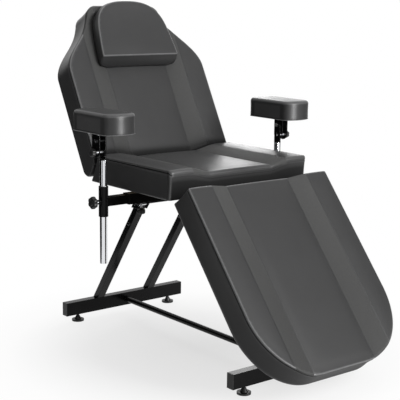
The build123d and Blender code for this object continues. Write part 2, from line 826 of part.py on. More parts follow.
def arm():
    """The arm tube with its upright sleeve and the weld nut of the clamp screw."""
    half = arm_size / 2
    spans = ((arm_inner_x, pole_offset_x), (arm_y - half, arm_y + half), (arm_z - half, arm_z + half))
    outer = bar_z(sleeve_diameter / 2, pole_offset_x, arm_y, (sleeve_low_z, sleeve_top_z))
    bore = bar_z(sleeve_bore_radius, pole_offset_x, arm_y, (sleeve_low_z, sleeve_top_z))
    nut_x = pole_offset_x + sleeve_diameter / 2 + weld_nut_height
    nut = bar_x(weld_nut_diameter / 2, arm_y, arm_z, (pole_offset_x, nut_x))
    hole = bar_x(clamp_screw_diameter / 2 + running_clearance, arm_y, arm_z, (pole_offset_x, nut_x))
    return (box_tube(spans, rail_wall, 0) - outer) + (outer + nut - bore - hole)


def sleeve_bush():
    """The plastic liner that the pole turns and slides in."""
    top_z = sleeve_top_z + running_clearance + bush_collar_height
    body = bar_z(bush_outer_radius, pole_offset_x, arm_y, (sleeve_low_z, top_z))
    collar = bar_z(sleeve_diameter / 2, pole_offset_x, arm_y, (top_z - bush_collar_height, top_z))
    bore = bar_z(pole_diameter / 2 + running_clearance, pole_offset_x, arm_y, (sleeve_low_z, top_z))
    return body + collar - bore


def pole():
    """The chrome tube that carries the pad."""
    z_span = (pole_bottom_z, pole_top_z)
    outer = bar_z(pole_diameter / 2, pole_offset_x, arm_y, z_span)
    return outer - bar_z(pole_diameter / 2 - pole_wall, pole_offset_x, arm_y, z_span)


def pole_head():
    """The plug, collar and flat plate on top of the pole."""
    collar_z = pole_top_z + head_collar_height
    plug_radius = pole_diameter / 2 - pole_wall - running_clearance
    plug = bar_z(plug_radius, pole_offset_x, arm_y, (pole_top_z - head_plug_length, pole_top_z))
    collar = bar_z(pole_diameter / 2, pole_offset_x, arm_y, (pole_top_z, collar_z))
    half_plate = head_plate_thickness / 2
    x_span = (pole_offset_x - half_plate, pole_offset_x + half_plate)
    half = head_plate_width / 2
    plate = block(x_span, (arm_y - half, arm_y + half), (collar_z, tilt_pivot_z))
    plate = plate + bar_x(half, arm_y, tilt_pivot_z, x_span)
    for z in (tilt_pivot_z, tilt_screw_z):
        plate = plate - bar_x(clamp_screw_diameter / 2 + running_clearance, arm_y, z, x_span)
    return plug + collar + plate


def pivot_bolt():
    """The bolt that the pad tilts on, with the spacer tube between the bracket's ears."""
    plate_x = pole_offset_x - head_plate_thickness / 2
    nut_x = ear_outer_x + bracket_thickness + part_clearance
    radius = clamp_screw_diameter / 2
    head_radius = leg_bolt_head_diameter / 2
    shank = bar_x(radius, arm_y, tilt_pivot_z, (plate_x - leg_bolt_head_height, nut_x + leg_bolt_head_height))
    head = bar_x(head_radius, arm_y, tilt_pivot_z, (plate_x - leg_bolt_head_height, plate_x))
    flat = Plane(origin=(nut_x, arm_y, tilt_pivot_z), z_dir=(1, 0, 0))
    nut = extrude(flat * RegularPolygon(head_radius, 6), leg_bolt_head_height)
    spacer_span = (ear_inner_x + bracket_thickness + part_clearance, ear_outer_x - part_clearance)
    bore_radius = radius + running_clearance
    spacer = bar_x(bore_radius + pivot_spacer_wall, arm_y, tilt_pivot_z, spacer_span)
    spacer = spacer - bar_x(bore_radius, arm_y, tilt_pivot_z, spacer_span)
    return group(shank + head + nut, spacer)


def bracket_ear(x):
    """One ear of the pad bracket, with its pivot hole and its curved clamp slot."""
    x_span = (x, x + bracket_thickness)
    half = bracket_width / 2
    round_z = pad_bottom_z - bracket_drop + half
    ear = block(x_span, (arm_y - half, arm_y + half), (round_z, pad_bottom_z - bracket_base_thickness))
    ear = ear + bar_x(half, arm_y, round_z, x_span)
    hole = bar_x(clamp_screw_diameter / 2 + running_clearance, arm_y, tilt_pivot_z, x_span)
    flat = Plane(origin=(x, arm_y, tilt_pivot_z), x_dir=(0, 1, 0), z_dir=(1, 0, 0))
    middle = CenterArc((0, 0), tilt_slot_radius, -90 - tilt_angle, 2 * tilt_angle)
    slot = extrude(flat * SlotArc(middle, clamp_screw_diameter + 2 * slide_clearance), bracket_thickness)
    return ear - hole - slot


def bracket_base_spans():
    """The flat top plate of the pad bracket."""
    x_span = (ear_inner_x - bracket_flange, ear_outer_x + bracket_thickness + bracket_flange)
    half = bracket_base_length / 2
    return (x_span, (arm_y - half, arm_y + half), (pad_bottom_z - bracket_base_thickness, pad_bottom_z))


def pad_screw_places():
    """Places of the four screws through the pad bracket's top plate."""
    x_span, y_span, z_span = bracket_base_spans()
    inset = bracket_flange / 2
    return [(x, y) for x in (x_span[0] + inset, x_span[1] - inset) for y in (y_span[0] + inset, y_span[1] - inset)]


def pad_screws(clearance):
    """The screws that hold the pad's board, or the holes for them."""
    z_span = (pad_bottom_z - bracket_base_thickness, pad_bottom_z + pad_screw_bite)
    return upright_screws(pad_screw_places(), z_span, pad_screw_diameter, pad_screw_head_diameter,
                          pad_screw_head_height, clearance)


def pad_bracket():
    """The bracket under the pad: a top plate and two ears that straddle the pivot spacer."""
    plate = block(*bracket_base_spans()) - pad_screws(running_clearance)
    return plate + bracket_ear(ear_inner_x) + bracket_ear(ear_outer_x)


def pad_outline(inset, z):
    """The arm pad seen from above: straight sides and bowed ends with rounded corners."""
    half = pad_width / 2 - inset
    corner_y = pad_length / 2 - pad_end_bulge - inset
    end_y = pad_length / 2 - inset
    edges = [
        Line((half, -corner_y), (half, corner_y)),
        ThreePointArc((half, corner_y), (0, end_y), (-half, corner_y)),
        Line((-half, corner_y), (-half, -corner_y)),
        ThreePointArc((-half, -corner_y), (0, -end_y), (half, -corner_y)),
    ]
    face = make_face(edges)
    return Pos(pole_offset_x, pad_y, z) * fillet(face.vertices(), pad_corner_radius)


def pad_board_block():
    """The space of the arm pad's board."""
    return extrude(pad_outline(pad_board_inset, pad_bottom_z), pad_board_thickness)


def pad_board():
    """The plywood board in the arm pad's underside."""
    return pad_board_block() - pad_screws(running_clearance)


def arm_pad():
    """The upholstered arm pad, pulled over its board."""
    levels = [
        (0, pad_edge_round / 4),
        (pad_edge_round, 0),
        (pad_height / 2, side_draw_in / 2),
        (pad_height - crown_rise - pad_edge_round, 0),
        (pad_height - crown_rise, pad_edge_round),
        (pad_height, pad_edge_round * 3),
    ]
    body = loft([pad_outline(inset, pad_bottom_z + height) for height, inset in levels], ruled=True)
    return body - pad_board_block()


# Hand knobs, drawn upwards from their hubs

def star_knob(diameter, screw_length):
    """A lobed plastic knob with its steel screw."""
    radius = diameter / 2
    lobe_radius = radius * knob_lobe_share
    lobe_centre = radius - lobe_radius
    outline = Circle(radius * knob_core_share)
    for index in range(knob_lobes):
        angle = 2 * math.pi * index / knob_lobes
        outline = outline + Pos(lobe_centre * math.cos(angle), lobe_centre * math.sin(angle)) * Circle(lobe_radius)
    grip = Pos(0, 0, knob_hub_height) * extrude(outline, knob_thickness)
    hub = bar_z(radius * knob_hub_share, 0, 0, (0, knob_hub_height))
    screw = bar_z(clamp_screw_diameter / 2, 0, 0, (-screw_length, 0))
    return group(grip + hub, screw)


def sleeve_knob():
    """The knob that clamps the pole in its sleeve."""
    hub_x = pole_offset_x + sleeve_diameter / 2 + weld_nut_height + clamp_screw_show
    tip_x = pole_offset_x + bush_outer_radius + part_clearance
    place = Location(Plane(origin=(hub_x, arm_y, arm_z), z_dir=(1, 0, 0)))
    return place * star_knob(large_knob_diameter, hub_x - tip_x)


def tilt_knob():
    """The knob that clamps the tilt of the pad, with its screw through both ears."""
    hub_x = ear_outer_x + bracket_thickness + part_clearance
    tip_x = pole_offset_x - head_plate_thickness / 2
    place = Location(Plane(origin=(hub_x, arm_y, tilt_screw_z), z_dir=(1, 0, 0)))
    return place * star_knob(small_knob_diameter, hub_x - tip_x)


def arm_lock_knob():
    """The knob under the cross tube that locks the arm."""
    hub_z = arm_z - socket_size / 2 - weld_nut_height - lock_screw_show
    tip_z = arm_z - arm_size / 2 - part_clearance
    place = Location(Plane(origin=(lock_knob_x, arm_y, hub_z), z_dir=(0, 0, -1)))
    return place * star_knob(small_knob_diameter, tip_z - hub_z)


# All pieces by node

def base_pieces():
    """The fixed pieces of the base and the seat."""
    beam = foot_beam()
    bracket_pair = pair(leg_bracket())
    return {
        "rear_foot_beam": beam,
        "front_foot_beam": turned(beam),
        "foot_end_caps": foot_end_caps(),
        "tie_bar": tie_bar(),
        "rear_legs": rear_legs(),
        "front_legs": front_legs(),
        "leg_brackets": group(bracket_pair, turned(bracket_pair)),
        "leg_bolts": leg_bolts(),
        "leg_tie_rod": leg_tie_rod(),
        "arm_cross_tube": arm_cross_tube(),
        "seat_frame": seat_frame(),
        "seat_board": seat_board(),
        "seat_cushion": seat_cushion(),
        "seat_screws": board_screws(seat_screw_places(), rail_bottom_z, 0),
        "hinge_fixed_plates": at_hinges(hinge_fixed_plate()),
        "hinge_pawls": at_hinges(hinge_pawl()),
        "hinge_pins": at_hinges(hinge_pin()),
    }


def glide_pieces():
    """The four levelling glides."""
    pieces = {}
    for end_name, end in (("front", -1), ("rear", 1)):
        for side_name, side in (("left", -1), ("right", 1)):
            pieces[f"glide_{end_name}_{side_name}"] = glide(side, end)
    return pieces


def backrest_pieces():
    """The backrest and its pillow, turned to the upright position."""
    block_shape = section_board_block(backrest_outline, backrest_heel_back)
    screws = section_screw_places(backrest_frame_end)
    cushion = section_cushion(backrest_outline, backrest_length, block_shape) & backrest_side_view()
    flat = {
        "backrest_hinge_plates": pair(hinge_moving_plate()),
        "backrest_frame": section_frame(backrest_frame_end),
        "backrest_board": block_shape - board_screws(screws, -rail_size / 2, running_clearance),
        "backrest_cushion": cushion,
        "backrest_screws": board_screws(screws, -rail_size / 2, 0),
        "pillow_strips": pillow_strips(),
        "head_pillow": head_pillow(),
    }
    return {name: on_backrest(shape) for name, shape in flat.items()}


def legrest_pieces():
    """The leg rest, turned to its lowered position."""
    block_shape = section_board_block(legrest_outline, legrest_face_start)
    screws = section_screw_places(legrest_frame_end)
    flat = {
        "legrest_hinge_plates": pair(hinge_moving_plate()),
        "legrest_frame": section_frame(legrest_frame_end),
        "legrest_board": block_shape - board_screws(screws, -rail_size / 2, running_clearance),
        "legrest_cushion": section_cushion(legrest_outline, legrest_length, block_shape),
        "legrest_screws": board_screws(screws, -rail_size / 2, 0),
    }
    return {name: on_legrest(shape) for name, shape in flat.items()}


def armrest_pieces():
    """Both armrests."""
    right = {
        "arm": arm(),
        "sleeve_bush": sleeve_bush(),
        "pole": pole(),
        "pole_head": pole_head(),
        "pivot_bolt": pivot_bolt(),
        "pad_bracket": pad_bracket(),
        "pad_screws": pad_screws(0),
        "pad_board": pad_board(),
        "arm_pad": arm_pad(),
        "sleeve_knob": sleeve_knob(),
        "tilt_knob": tilt_knob(),
        "arm_lock_knob": arm_lock_knob(),
    }
    pieces = {}
    for name, shape in right.items():
        pieces[f"right_{name}"] = shape
        pieces[f"left_{name}"] = mirrored(shape)
    return pieces


def footprint_shift(pieces):
    """How far the pieces move along Y so that the chair's middle is over the origin."""
    boxes = [shape.bounding_box() for shape in pieces.values()]
    return -(min(box.min.Y for box in boxes) + max(box.max.Y for box in boxes)) / 2


def all_pieces():
    """Every node's shape in the chair's frame, and the shift that was made."""
    pieces = {**base_pieces(), **glide_pieces(), **backrest_pieces(), **legrest_pieces(), **armrest_pieces()}
    shift = footprint_shift(pieces)
    return {name: Pos(0, shift, 0) * shape for name, shape in pieces.items()}, shift


chair_pieces, centre_shift_y = all_pieces()
for node_name, node_shape in chair_pieces.items():
    export_step(node_shape, f"parts/{node_name}.step")
print(len(chair_pieces), "nodes, shift", round(centre_shift_y, 3))
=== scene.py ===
"""Tattoo chair: cushions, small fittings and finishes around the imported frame, with its stage."""

import json
import math

import bmesh
import bpy
import numpy as np
from bpy.props import FloatProperty, FloatVectorProperty, IntProperty, PointerProperty
from mathutils import Matrix, Vector
from mathutils.geometry import delaunay_2d_cdt

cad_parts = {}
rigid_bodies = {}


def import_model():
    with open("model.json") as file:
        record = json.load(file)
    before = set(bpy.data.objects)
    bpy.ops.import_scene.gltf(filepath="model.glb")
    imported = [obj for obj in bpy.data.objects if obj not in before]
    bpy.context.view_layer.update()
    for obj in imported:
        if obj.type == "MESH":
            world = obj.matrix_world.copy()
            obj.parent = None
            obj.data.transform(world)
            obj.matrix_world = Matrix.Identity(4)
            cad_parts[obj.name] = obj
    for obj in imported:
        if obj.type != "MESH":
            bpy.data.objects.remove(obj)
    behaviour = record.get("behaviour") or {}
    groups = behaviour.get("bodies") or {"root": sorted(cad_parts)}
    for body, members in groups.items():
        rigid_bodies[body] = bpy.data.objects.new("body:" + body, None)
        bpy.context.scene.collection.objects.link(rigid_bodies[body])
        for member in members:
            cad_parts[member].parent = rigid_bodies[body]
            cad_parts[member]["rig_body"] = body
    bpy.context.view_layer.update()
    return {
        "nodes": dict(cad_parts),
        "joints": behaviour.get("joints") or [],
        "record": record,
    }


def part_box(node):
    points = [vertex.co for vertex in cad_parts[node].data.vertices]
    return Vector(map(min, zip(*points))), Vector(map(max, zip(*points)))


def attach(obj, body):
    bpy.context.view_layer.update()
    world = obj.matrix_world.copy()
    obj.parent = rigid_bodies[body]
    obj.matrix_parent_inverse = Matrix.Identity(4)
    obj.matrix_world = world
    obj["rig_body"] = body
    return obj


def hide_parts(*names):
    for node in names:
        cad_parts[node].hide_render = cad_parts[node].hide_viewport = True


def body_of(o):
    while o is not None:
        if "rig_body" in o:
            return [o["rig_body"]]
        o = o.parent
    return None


bl_info = {
    "name": "Tattoo Chair Upholstery and Finish",
    "version": (1, 0, 0),
    "blender": (4, 5, 0),
    "location": "3D View > Sidebar > Tattoo Chair",
    "description": "Builds the cushions, fittings and finishes of a tattoo chair around its steel frame",
    "category": "Object",
}

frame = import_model()
joint_by_name = {joint["name"]: joint for joint in frame["joints"]}


# Sizes and colours that a user would change

def metres(name, default, about):
    """A size in metres that a user may change."""
    return FloatProperty(name=name, description=about, default=default, unit="LENGTH")


def tint(name, default, about):
    """A colour that a user may change, given by its red, green and blue."""
    return FloatVectorProperty(name=name, description=about, default=(*default, 1.0), subtype="COLOR", size=4)


class ChairCushions(bpy.types.PropertyGroup):
    """Sizes that the seat, the backrest and the leg rest share."""

    width: metres("Width", 0.6, "Width of the three cushions")
    thickness: metres("Thickness", 0.1, "Height of the bolsters over the boards")
    bolster_seam: metres("Bolster Seam", 0.205, "From the middle to the bolster's seam")
    channel_seam: metres("Channel Seam", 0.134, "From the middle to the centre panel's seam")
    channel_depth: metres("Channel Depth", 0.019, "How far the centre panel lies below the bolsters")
    crown: metres("Crown", 0.0016, "Rise of a panel between its seams")
    edge_round: metres("Edge Rounding", 0.004, "Radius of the face's outer edge")
    draw_in: metres("Side Draw-in", 0.002, "How far the sides pull in at half height")
    seam_depth: metres("Seam Depth", 0.0007, "Depth of a sewn seam")
    welt_depth: metres("Welt Depth", 0.0034, "Depth of the sewn groove under the face's edge")
    board_inset: metres("Board Inset", 0.0137, "From the cushion's side to its board")
    mesh_step: metres("Mesh Step", 0.0075, "Spacing of the cushion's mesh")
    fill_pressure: FloatProperty(name="Fill Pressure", description="Pressure of the foam in the simulation",
                                 default=4.0)
    swell_limit: metres("Swell Limit", 0.002, "Most that a point of a panel may swell")
    stitch_pitch: metres("Stitch Pitch", 0.006, "From one stitch to the next")
    stitch_length: metres("Stitch Length", 0.0044, "Length of one stitch")
    thread_size: metres("Thread", 0.0009, "Thickness of the sewing thread")


class ChairSections(bpy.types.PropertyGroup):
    """Lengths of the seat, the backrest, the leg rest and the pillow."""

    seat_front: metres("Seat Front", -0.206, "From the middle of the base to the seat's front")
    seat_rear: metres("Seat Rear", 0.258, "From the middle of the base to the seat's rear edge")
    seat_rear_slant: metres("Rear Slant", 0.044, "How far the seat's rear leans in at its top")
    rail_half: metres("Rail Half", 0.015, "From a hinge axis to the boards")
    backrest_length: metres("Backrest Length", 0.64, "From the hinge to the head end")
    channel_end: metres("Channel End", 0.618, "Where the backrest's channel has run out")
    legrest_length: metres("Leg Rest Length", 0.673, "From the hinge to the foot end")
    pillow_start: metres("Pillow Start", 0.3935, "From the hinge to the pillow's lower edge")
    pillow_end: metres("Pillow End", 0.644, "From the hinge to the pillow's round end")
    pillow_width: metres("Pillow Width", 0.336, "Width of the head pillow")
    pillow_height: metres("Pillow Height", 0.054, "Height of the pillow over the centre panel")


class ChairArmrests(bpy.types.PropertyGroup):
    """Sizes of the arm pads and their hand knobs."""

    pad_length: metres("Pad Length", 0.232, "Length of an arm pad")
    pad_width: metres("Pad Width", 0.122, "Width of an arm pad")
    pad_height: metres("Pad Height", 0.07, "Height of an arm pad")
    pad_bulge: metres("Pad Bulge", 0.022, "How far the pad's ends bow out")
    pad_corner: metres("Pad Corner", 0.024, "Radius of the pad's corners")
    knob_lobes: IntProperty(name="Knob Lobes", description="Lobes around a hand knob", default=6, min=3, max=12)
    knob_thickness: metres("Knob Thickness", 0.015, "Thickness of a knob's grip")
    hub_height: metres("Hub Height", 0.005, "Height of the hub under a knob's grip")
    thread_radius: metres("Thread Radius", 0.004, "Radius of the knobs' screws")
    thread_pitch: metres("Thread Pitch", 0.00125, "Pitch of the knobs' screws")


class ChairScrews(bpy.types.PropertyGroup):
    """Sizes of the screws that hold the boards."""

    head_width: metres("Head Width", 0.011, "Width of a cushion board's screw head")
    head_height: metres("Head Height", 0.0035, "Height of a cushion board's screw head")
    shank_width: metres("Shank Width", 0.006, "Width of a cushion board's screw")
    shank_length: metres("Shank Length", 0.038, "Length of a cushion board's screw")
    rail_reach: metres("Rail Reach", 0.162, "From the middle to a section's rail")
    pad_head_width: metres("Pad Head Width", 0.008, "Width of a pad board's screw head")
    pad_head_height: metres("Pad Head Height", 0.0025, "Height of a pad board's screw head")
    pad_shank_width: metres("Pad Shank Width", 0.004, "Width of a pad board's screw")


class ChairFinish(bpy.types.PropertyGroup):
    """Colours of the materials."""

    leather: tint("Leather", (0.052, 0.052, 0.0525), "Colour of the smooth cover")
    strip: tint("Strip", (0.082, 0.082, 0.081), "Colour of the textured strips")
    steel: tint("Powder Coat", (0.0055, 0.0055, 0.0058), "Colour of the coated steel")
    plastic: tint("Plastic", (0.011, 0.011, 0.011), "Colour of knobs, caps and glides")
    chrome: tint("Chrome", (0.74, 0.75, 0.77), "Colour of the poles and bolts")
    zinc: tint("Zinc", (0.55, 0.56, 0.58), "Colour of the plated screws")
    wood: tint("Plywood", (0.2, 0.14, 0.08), "Colour of the boards")
    floor: tint("Floor", (0.82, 0.82, 0.82), "Colour of the floor")


# Places of the three sections

class Place:
    """The local frame of a section: x across, s along it, n out of its face, measured from its boards."""

    def __init__(self, origin, along, out):
        self.origin = Vector(origin)
        self.along = Vector(along)
        self.out = Vector(out)

    def points(self, local):
        """Turns rows of (x, s, n) into places in the chair's frame."""
        local = np.asarray(local, float)
        across = np.outer(local[:, 0], (1.0, 0.0, 0.0))
        return np.array(self.origin) + across + np.outer(local[:, 1], self.along) + np.outer(local[:, 2], self.out)


# Each hinged section's joint, and which way it reaches from there: 1 to the head end, -1 to the foot end
SECTION_HINGES = {"backrest": ("backrest_recline", 1.0), "legrest": ("legrest_fold", -1.0)}


def seat_place():
    """The seat's frame, whose s runs towards the head end from the middle of the base."""
    base_middle = (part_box("rear_foot_beam")[0].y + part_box("front_foot_beam")[1].y) / 2
    return Place((0.0, base_middle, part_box("seat_cushion")[0].z), (0.0, 1.0, 0.0), (0.0, 0.0, 1.0))


def hinged_angle(section):
    """A hinged section's packed angle, measured from its flat position."""
    limits = joint_by_name[SECTION_HINGES[section][0]]["range_deg"]
    return math.radians(max(abs(value) for value in limits))


def hinged_place(section, rail_half):
    """A hinged section's frame at its packed angle."""
    joint, way = SECTION_HINGES[section]
    angle = hinged_angle(section)
    out = Vector((0.0, -math.sin(angle), math.cos(angle)))
    along = Vector((0.0, math.cos(angle), math.sin(angle)))
    return Place(Vector(joint_by_name[joint]["pos_m"]) + rail_half * out, way * along, out)


# Shader maths

WHITE = (1.0, 1.0, 1.0, 1.0)


class Socket:
    """An output socket in a node tree, with arithmetic that adds Math nodes."""

    def __init__(self, maker, output):
        self.maker = maker
        self.output = output

    def math(self, operation, other, swap=False):
        values = (other, self) if swap else (self, other)
        return self.maker.node("ShaderNodeMath", {"operation": operation}, {0: values[0], 1: values[1]})

    def __add__(self, other):
        return self.math("ADD", other)

    def __radd__(self, other):
        return self.math("ADD", other, True)

    def __sub__(self, other):
        return self.math("SUBTRACT", other)

    def __rsub__(self, other):
        return self.math("SUBTRACT", other, True)

    def __mul__(self, other):
        return self.math("MULTIPLY", other)

    def __rmul__(self, other):
        return self.math("MULTIPLY", other, True)


class Nodes:
    """Adds nodes to a tree of any kind."""

    def __init__(self, tree):
        self.tree = tree

    def feed(self, target, value):
        """Links an output to a node's socket, or sets the socket's own value."""
        if isinstance(value, Socket):
            self.tree.links.new(value.output, target)
        else:
            target.default_value = value

    def node(self, kind, settings, inputs, output=0):
        """Adds a node of any type, with its settings first, and returns one of its outputs."""
        node = self.tree.nodes.new(kind)
        for key, value in settings.items():
            if key == "stops":
                self.place_stops(node.color_ramp, value)
            else:
                setattr(node, key, value)
        for key, value in inputs.items():
            self.feed(node.inputs[key], value)
        return Socket(self, node.outputs[output]) if node.outputs else None

    def place_stops(self, ramp, stops):
        """Sets a ramp's first and last stops and adds those between them."""
        while len(ramp.elements) < len(stops):
            ramp.elements.new(0.5)
        for element, (position, value) in zip(ramp.elements, stops):
            element.position = position
            element.color = (value, value, value, 1.0)

    def seen(self):
        """1 for rays of the camera, of reflections and of clear pieces, and 0 for the light's own."""
        camera, glossy, clear = (self.node("ShaderNodeLightPath", {}, {}, f"Is {ray} Ray")
                                 for ray in ("Camera", "Glossy", "Transmission"))
        return camera.math("MAXIMUM", glossy).math("MAXIMUM", clear)


# The colour of the painted shade in a cover's grooves, creases and contact lines, and how much lighter its painted
# edge highlights are
PAINTED_SHADE_COLOR = (0.003, 0.003, 0.003, 1.0)
PAINTED_HIGHLIGHT_GAIN = 4.4


class Finish(Nodes):
    """Builds one procedural material."""

    def __init__(self, name, color, roughness, specular=0.5, metallic=0.0):
        self.material = bpy.data.materials.new(name)
        self.material.use_nodes = True
        super().__init__(self.material.node_tree)
        self.shader = self.tree.nodes["Principled BSDF"]
        self.color = self.material.diffuse_color = tuple(color)
        self.set("Base Color", self.color)
        self.set("Roughness", roughness)
        self.set("Specular IOR Level", specular)
        self.set("Metallic", metallic)
        self.coordinates = self.node("ShaderNodeTexCoord", {}, {}, "Object")

    def set(self, socket, value):
        """Sets or links one of the shader's own sockets."""
        self.feed(self.shader.inputs[socket], value)

    def scaled(self, scale):
        """Object coordinates stretched by a scale along each axis."""
        return self.node("ShaderNodeMapping", {}, {"Vector": self.coordinates, "Scale": scale})

    def noise(self, scale, detail=2.0, roughness=0.5, vector=None):
        """A noise value over the piece."""
        inputs = {"Vector": vector or self.coordinates, "Scale": scale, "Detail": detail, "Roughness": roughness}
        return self.node("ShaderNodeTexNoise", {}, inputs)

    def cells(self, scale, feature="F1"):
        """A cell distance over the piece."""
        return self.node("ShaderNodeTexVoronoi", {"feature": feature}, {"Vector": self.coordinates, "Scale": scale})

    def ramp(self, value, stops):
        """Maps a value through grey stops."""
        return self.node("ShaderNodeValToRGB", {"stops": stops}, {"Fac": value})

    def tone(self, sign):
        """How much painted highlight a cover has, or with a sign of -1 how much painted shade, from its mesh."""
        tone = self.node("ShaderNodeAttribute", {"attribute_name": "edge_tone"}, {}, "Fac")
        return (tone * sign).math("MAXIMUM", 0.0)

    def times(self, gain):
        """The finish's colour, brighter by a gain."""
        return tuple(channel * gain for channel in self.color[:3]) + (1.0,)

    def shade(self, factor, low, high):
        """Mixes the finish's colour between a darker and a lighter one."""
        return self.mix(factor, self.times(low), self.times(high))

    def mix(self, factor, first, second):
        """Mixes two colours."""
        return self.node("ShaderNodeMix", {"data_type": "RGBA"}, {0: factor, 6: first, 7: second}, 2)

    def relief(self, height, strength, distance, corner=None):
        """Feeds a height into the normal, over rounded corners where a radius is given."""
        inputs = {"Height": height, "Strength": strength, "Distance": distance}
        if corner:
            inputs["Normal"] = self.node("ShaderNodeBevel", {"samples": 4}, {"Radius": corner})
        self.set("Normal", self.node("ShaderNodeBump", {}, inputs))

    def done(self, color, roughness=None, relief=None):
        """Feeds the shader what varies over the surface and returns the finished material."""
        self.set("Base Color", color)
        if roughness:
            self.set("Roughness", roughness)
        if relief:
            self.relief(*relief)
        return self.material


def leather_finish(colors):
    """Smooth synthetic leather with a fine grain and soft gloss, with painted highlights on its edges and painted
    shade in its grooves, creases and contact lines.
    """
    finish = Finish("black_grained_leather", colors.leather, 0.34, 0.17)
    pores, creases = finish.cells(850.0, "SMOOTH_F1"), finish.cells(420.0, "DISTANCE_TO_EDGE")
    broad, handled = finish.noise(9.0, 4.0, 0.6), finish.noise(38.0, 3.0)
    # The mesh's tone: a painted highlight where it is above 0 and painted shade where it is below 0
    painted_highlight, sunk_and_shaded = finish.tone(1.0), finish.tone(-1.0)
    cover = finish.shade(broad * 0.7 + handled * 0.3, 0.88, 1.12)
    cover_with_painted_highlight = finish.mix(painted_highlight * (0.75 + handled * 0.25), cover, finish.times(PAINTED_HIGHLIGHT_GAIN))
    grain = pores * 0.6 + finish.ramp(creases, ((0.0, 0.0), (0.16, 1.0))) * 0.4 + broad * 0.3
    return finish.done(finish.mix(sunk_and_shaded, cover_with_painted_highlight, PAINTED_SHADE_COLOR), 0.26 + broad * 0.08 + pores * 0.08 + sunk_and_shaded * 0.5,
                       (grain, 0.16, 0.0005))


def strip_finish(colors):
    """Lighter textured strip with rows of fine woven ribs, with the same painted shade as the leather beside it."""
    finish = Finish("woven_grey_strip", colors.strip, 0.58, 0.15)
    uv = finish.node("ShaderNodeUVMap", {"uv_map": "flat"}, {})
    turned = finish.node("ShaderNodeMapping", {}, {"Vector": uv, "Rotation": (0.0, 0.0, math.radians(45.0))})
    warp, weft = (finish.node("ShaderNodeTexWave", {"wave_type": "BANDS", "bands_direction": way},
                              {"Vector": turned, "Scale": 140.0, "Distortion": 0.0}) for way in "XY")
    weave, slubs = warp * weft, finish.noise(160.0, 3.0, 0.6)
    woven = finish.shade(weave * 0.6 + slubs * 0.4, 0.72, 1.3)
    # Painted shade where the mesh's tone is below 0
    return finish.done(finish.mix(finish.tone(-1.0), woven, PAINTED_SHADE_COLOR), 0.66 - weave * 0.12,
                       (weave + slubs * 0.3, 0.35, 0.0008))


def thread_finish(colors):
    """Twisted sewing thread."""
    finish = Finish("black_sewing_thread", (0.03, 0.03, 0.03, 1.0), 0.5, 0.4)
    twist = finish.noise(2400.0, 1.0)
    return finish.done(finish.shade(twist, 0.7, 1.3), relief=(twist, 0.3, 0.0002))


def steel_finish(colors):
    """Black powder coat with a fine orange peel, faint rub marks and rounded edges."""
    finish = Finish("black_powder_coat", colors.steel, 0.32, 0.12)
    peel, rub = finish.noise(620.0), finish.noise(24.0, 5.0, 0.65)
    return finish.done(finish.shade(rub, 0.8, 1.25), 0.16 + rub * 0.12, (peel, 0.1, 0.0003, 0.0022))


def plastic_finish(colors):
    """Moulded black plastic with a fine spark-eroded texture."""
    finish = Finish("black_moulded_plastic", colors.plastic, 0.4, 0.3)
    texture, flow = finish.noise(1500.0, 2.0, 0.6), finish.noise(30.0)
    return finish.done(finish.shade(flow, 0.85, 1.2), 0.36 + texture * 0.14, (texture, 0.16, 0.0002, 0.0006))


def chrome_finish(colors):
    """Bright chrome with faint polishing marks along it."""
    finish = Finish("polished_chrome", colors.chrome, 0.08, 0.5, 1.0)
    marks, haze = finish.noise(260.0, 3.0, 0.6, finish.scaled((1.0, 1.0, 0.04))), finish.noise(20.0)
    return finish.done(finish.shade(haze, 0.94, 1.04), 0.05 + marks * 0.07, (marks, 0.03, 0.0001, 0.0006))


def zinc_finish(colors):
    """Zinc-plated steel with a cloudy, slightly dull surface."""
    finish = Finish("zinc_plated_steel", colors.zinc, 0.3, 0.5, 1.0)
    cloud = finish.noise(140.0, 4.0, 0.6)
    return finish.done(finish.shade(cloud, 0.75, 1.15), 0.22 + cloud * 0.2, (cloud, 0.08, 0.0002, 0.0004))


def plywood_finish(colors):
    """Dark stained plywood with long grain."""
    finish = Finish("birch_plywood", colors.wood, 0.62, 0.3)
    grain = finish.noise(26.0, 6.0, 0.65, finish.scaled((9.0, 1.0, 1.0)))
    fibres = finish.noise(210.0, 3.0, 0.6, finish.scaled((4.0, 0.25, 0.25)))
    return finish.done(finish.shade(grain * 0.7 + fibres * 0.3, 0.62, 1.22), 0.56 + fibres * 0.14,
                       (fibres, 0.25, 0.0004))


def hook_strip_finish(colors):
    """Black hook-and-loop tape."""
    finish = Finish("hook_and_loop_tape", (0.014, 0.014, 0.014, 1.0), 0.85, 0.2)
    loops = finish.cells(1100.0)
    return finish.done(finish.shade(loops, 0.6, 1.6), relief=(loops, 0.8, 0.0008))


# How white the floor is seen at a share of FLOOR_FADE from the chair's middle, in metres
FLOOR_WHITE = ((0.0, 0.64), (0.1, 0.72), (0.18, 0.95), (0.24, 1.0))
FLOOR_FADE = 4.0


def floor_finish(colors):
    """Pale floor that reads as the white background and keeps the chair's shadow."""
    finish = Finish("pale_studio_floor", colors.floor, 0.6, 0.0)
    finish.set("Base Color", finish.shade(finish.noise(3.0), 0.995, 1.005))
    away = finish.node("ShaderNodeVectorMath", {"operation": "LENGTH"}, {0: finish.coordinates}, "Value")
    white_share = finish.ramp(away * (1.0 / FLOOR_FADE), FLOOR_WHITE)
    white = finish.node("ShaderNodeEmission", {}, {"Color": WHITE, "Strength": 1.0})
    plain = Socket(finish, finish.shader.outputs["BSDF"])
    blend = finish.node("ShaderNodeMixShader", {}, {0: finish.seen() * white_share, 1: plain, 2: white})
    finish.feed(finish.tree.nodes["Material Output"].inputs["Surface"], blend)
    finish.material.cycles.emission_sampling = "NONE"
    return finish.material


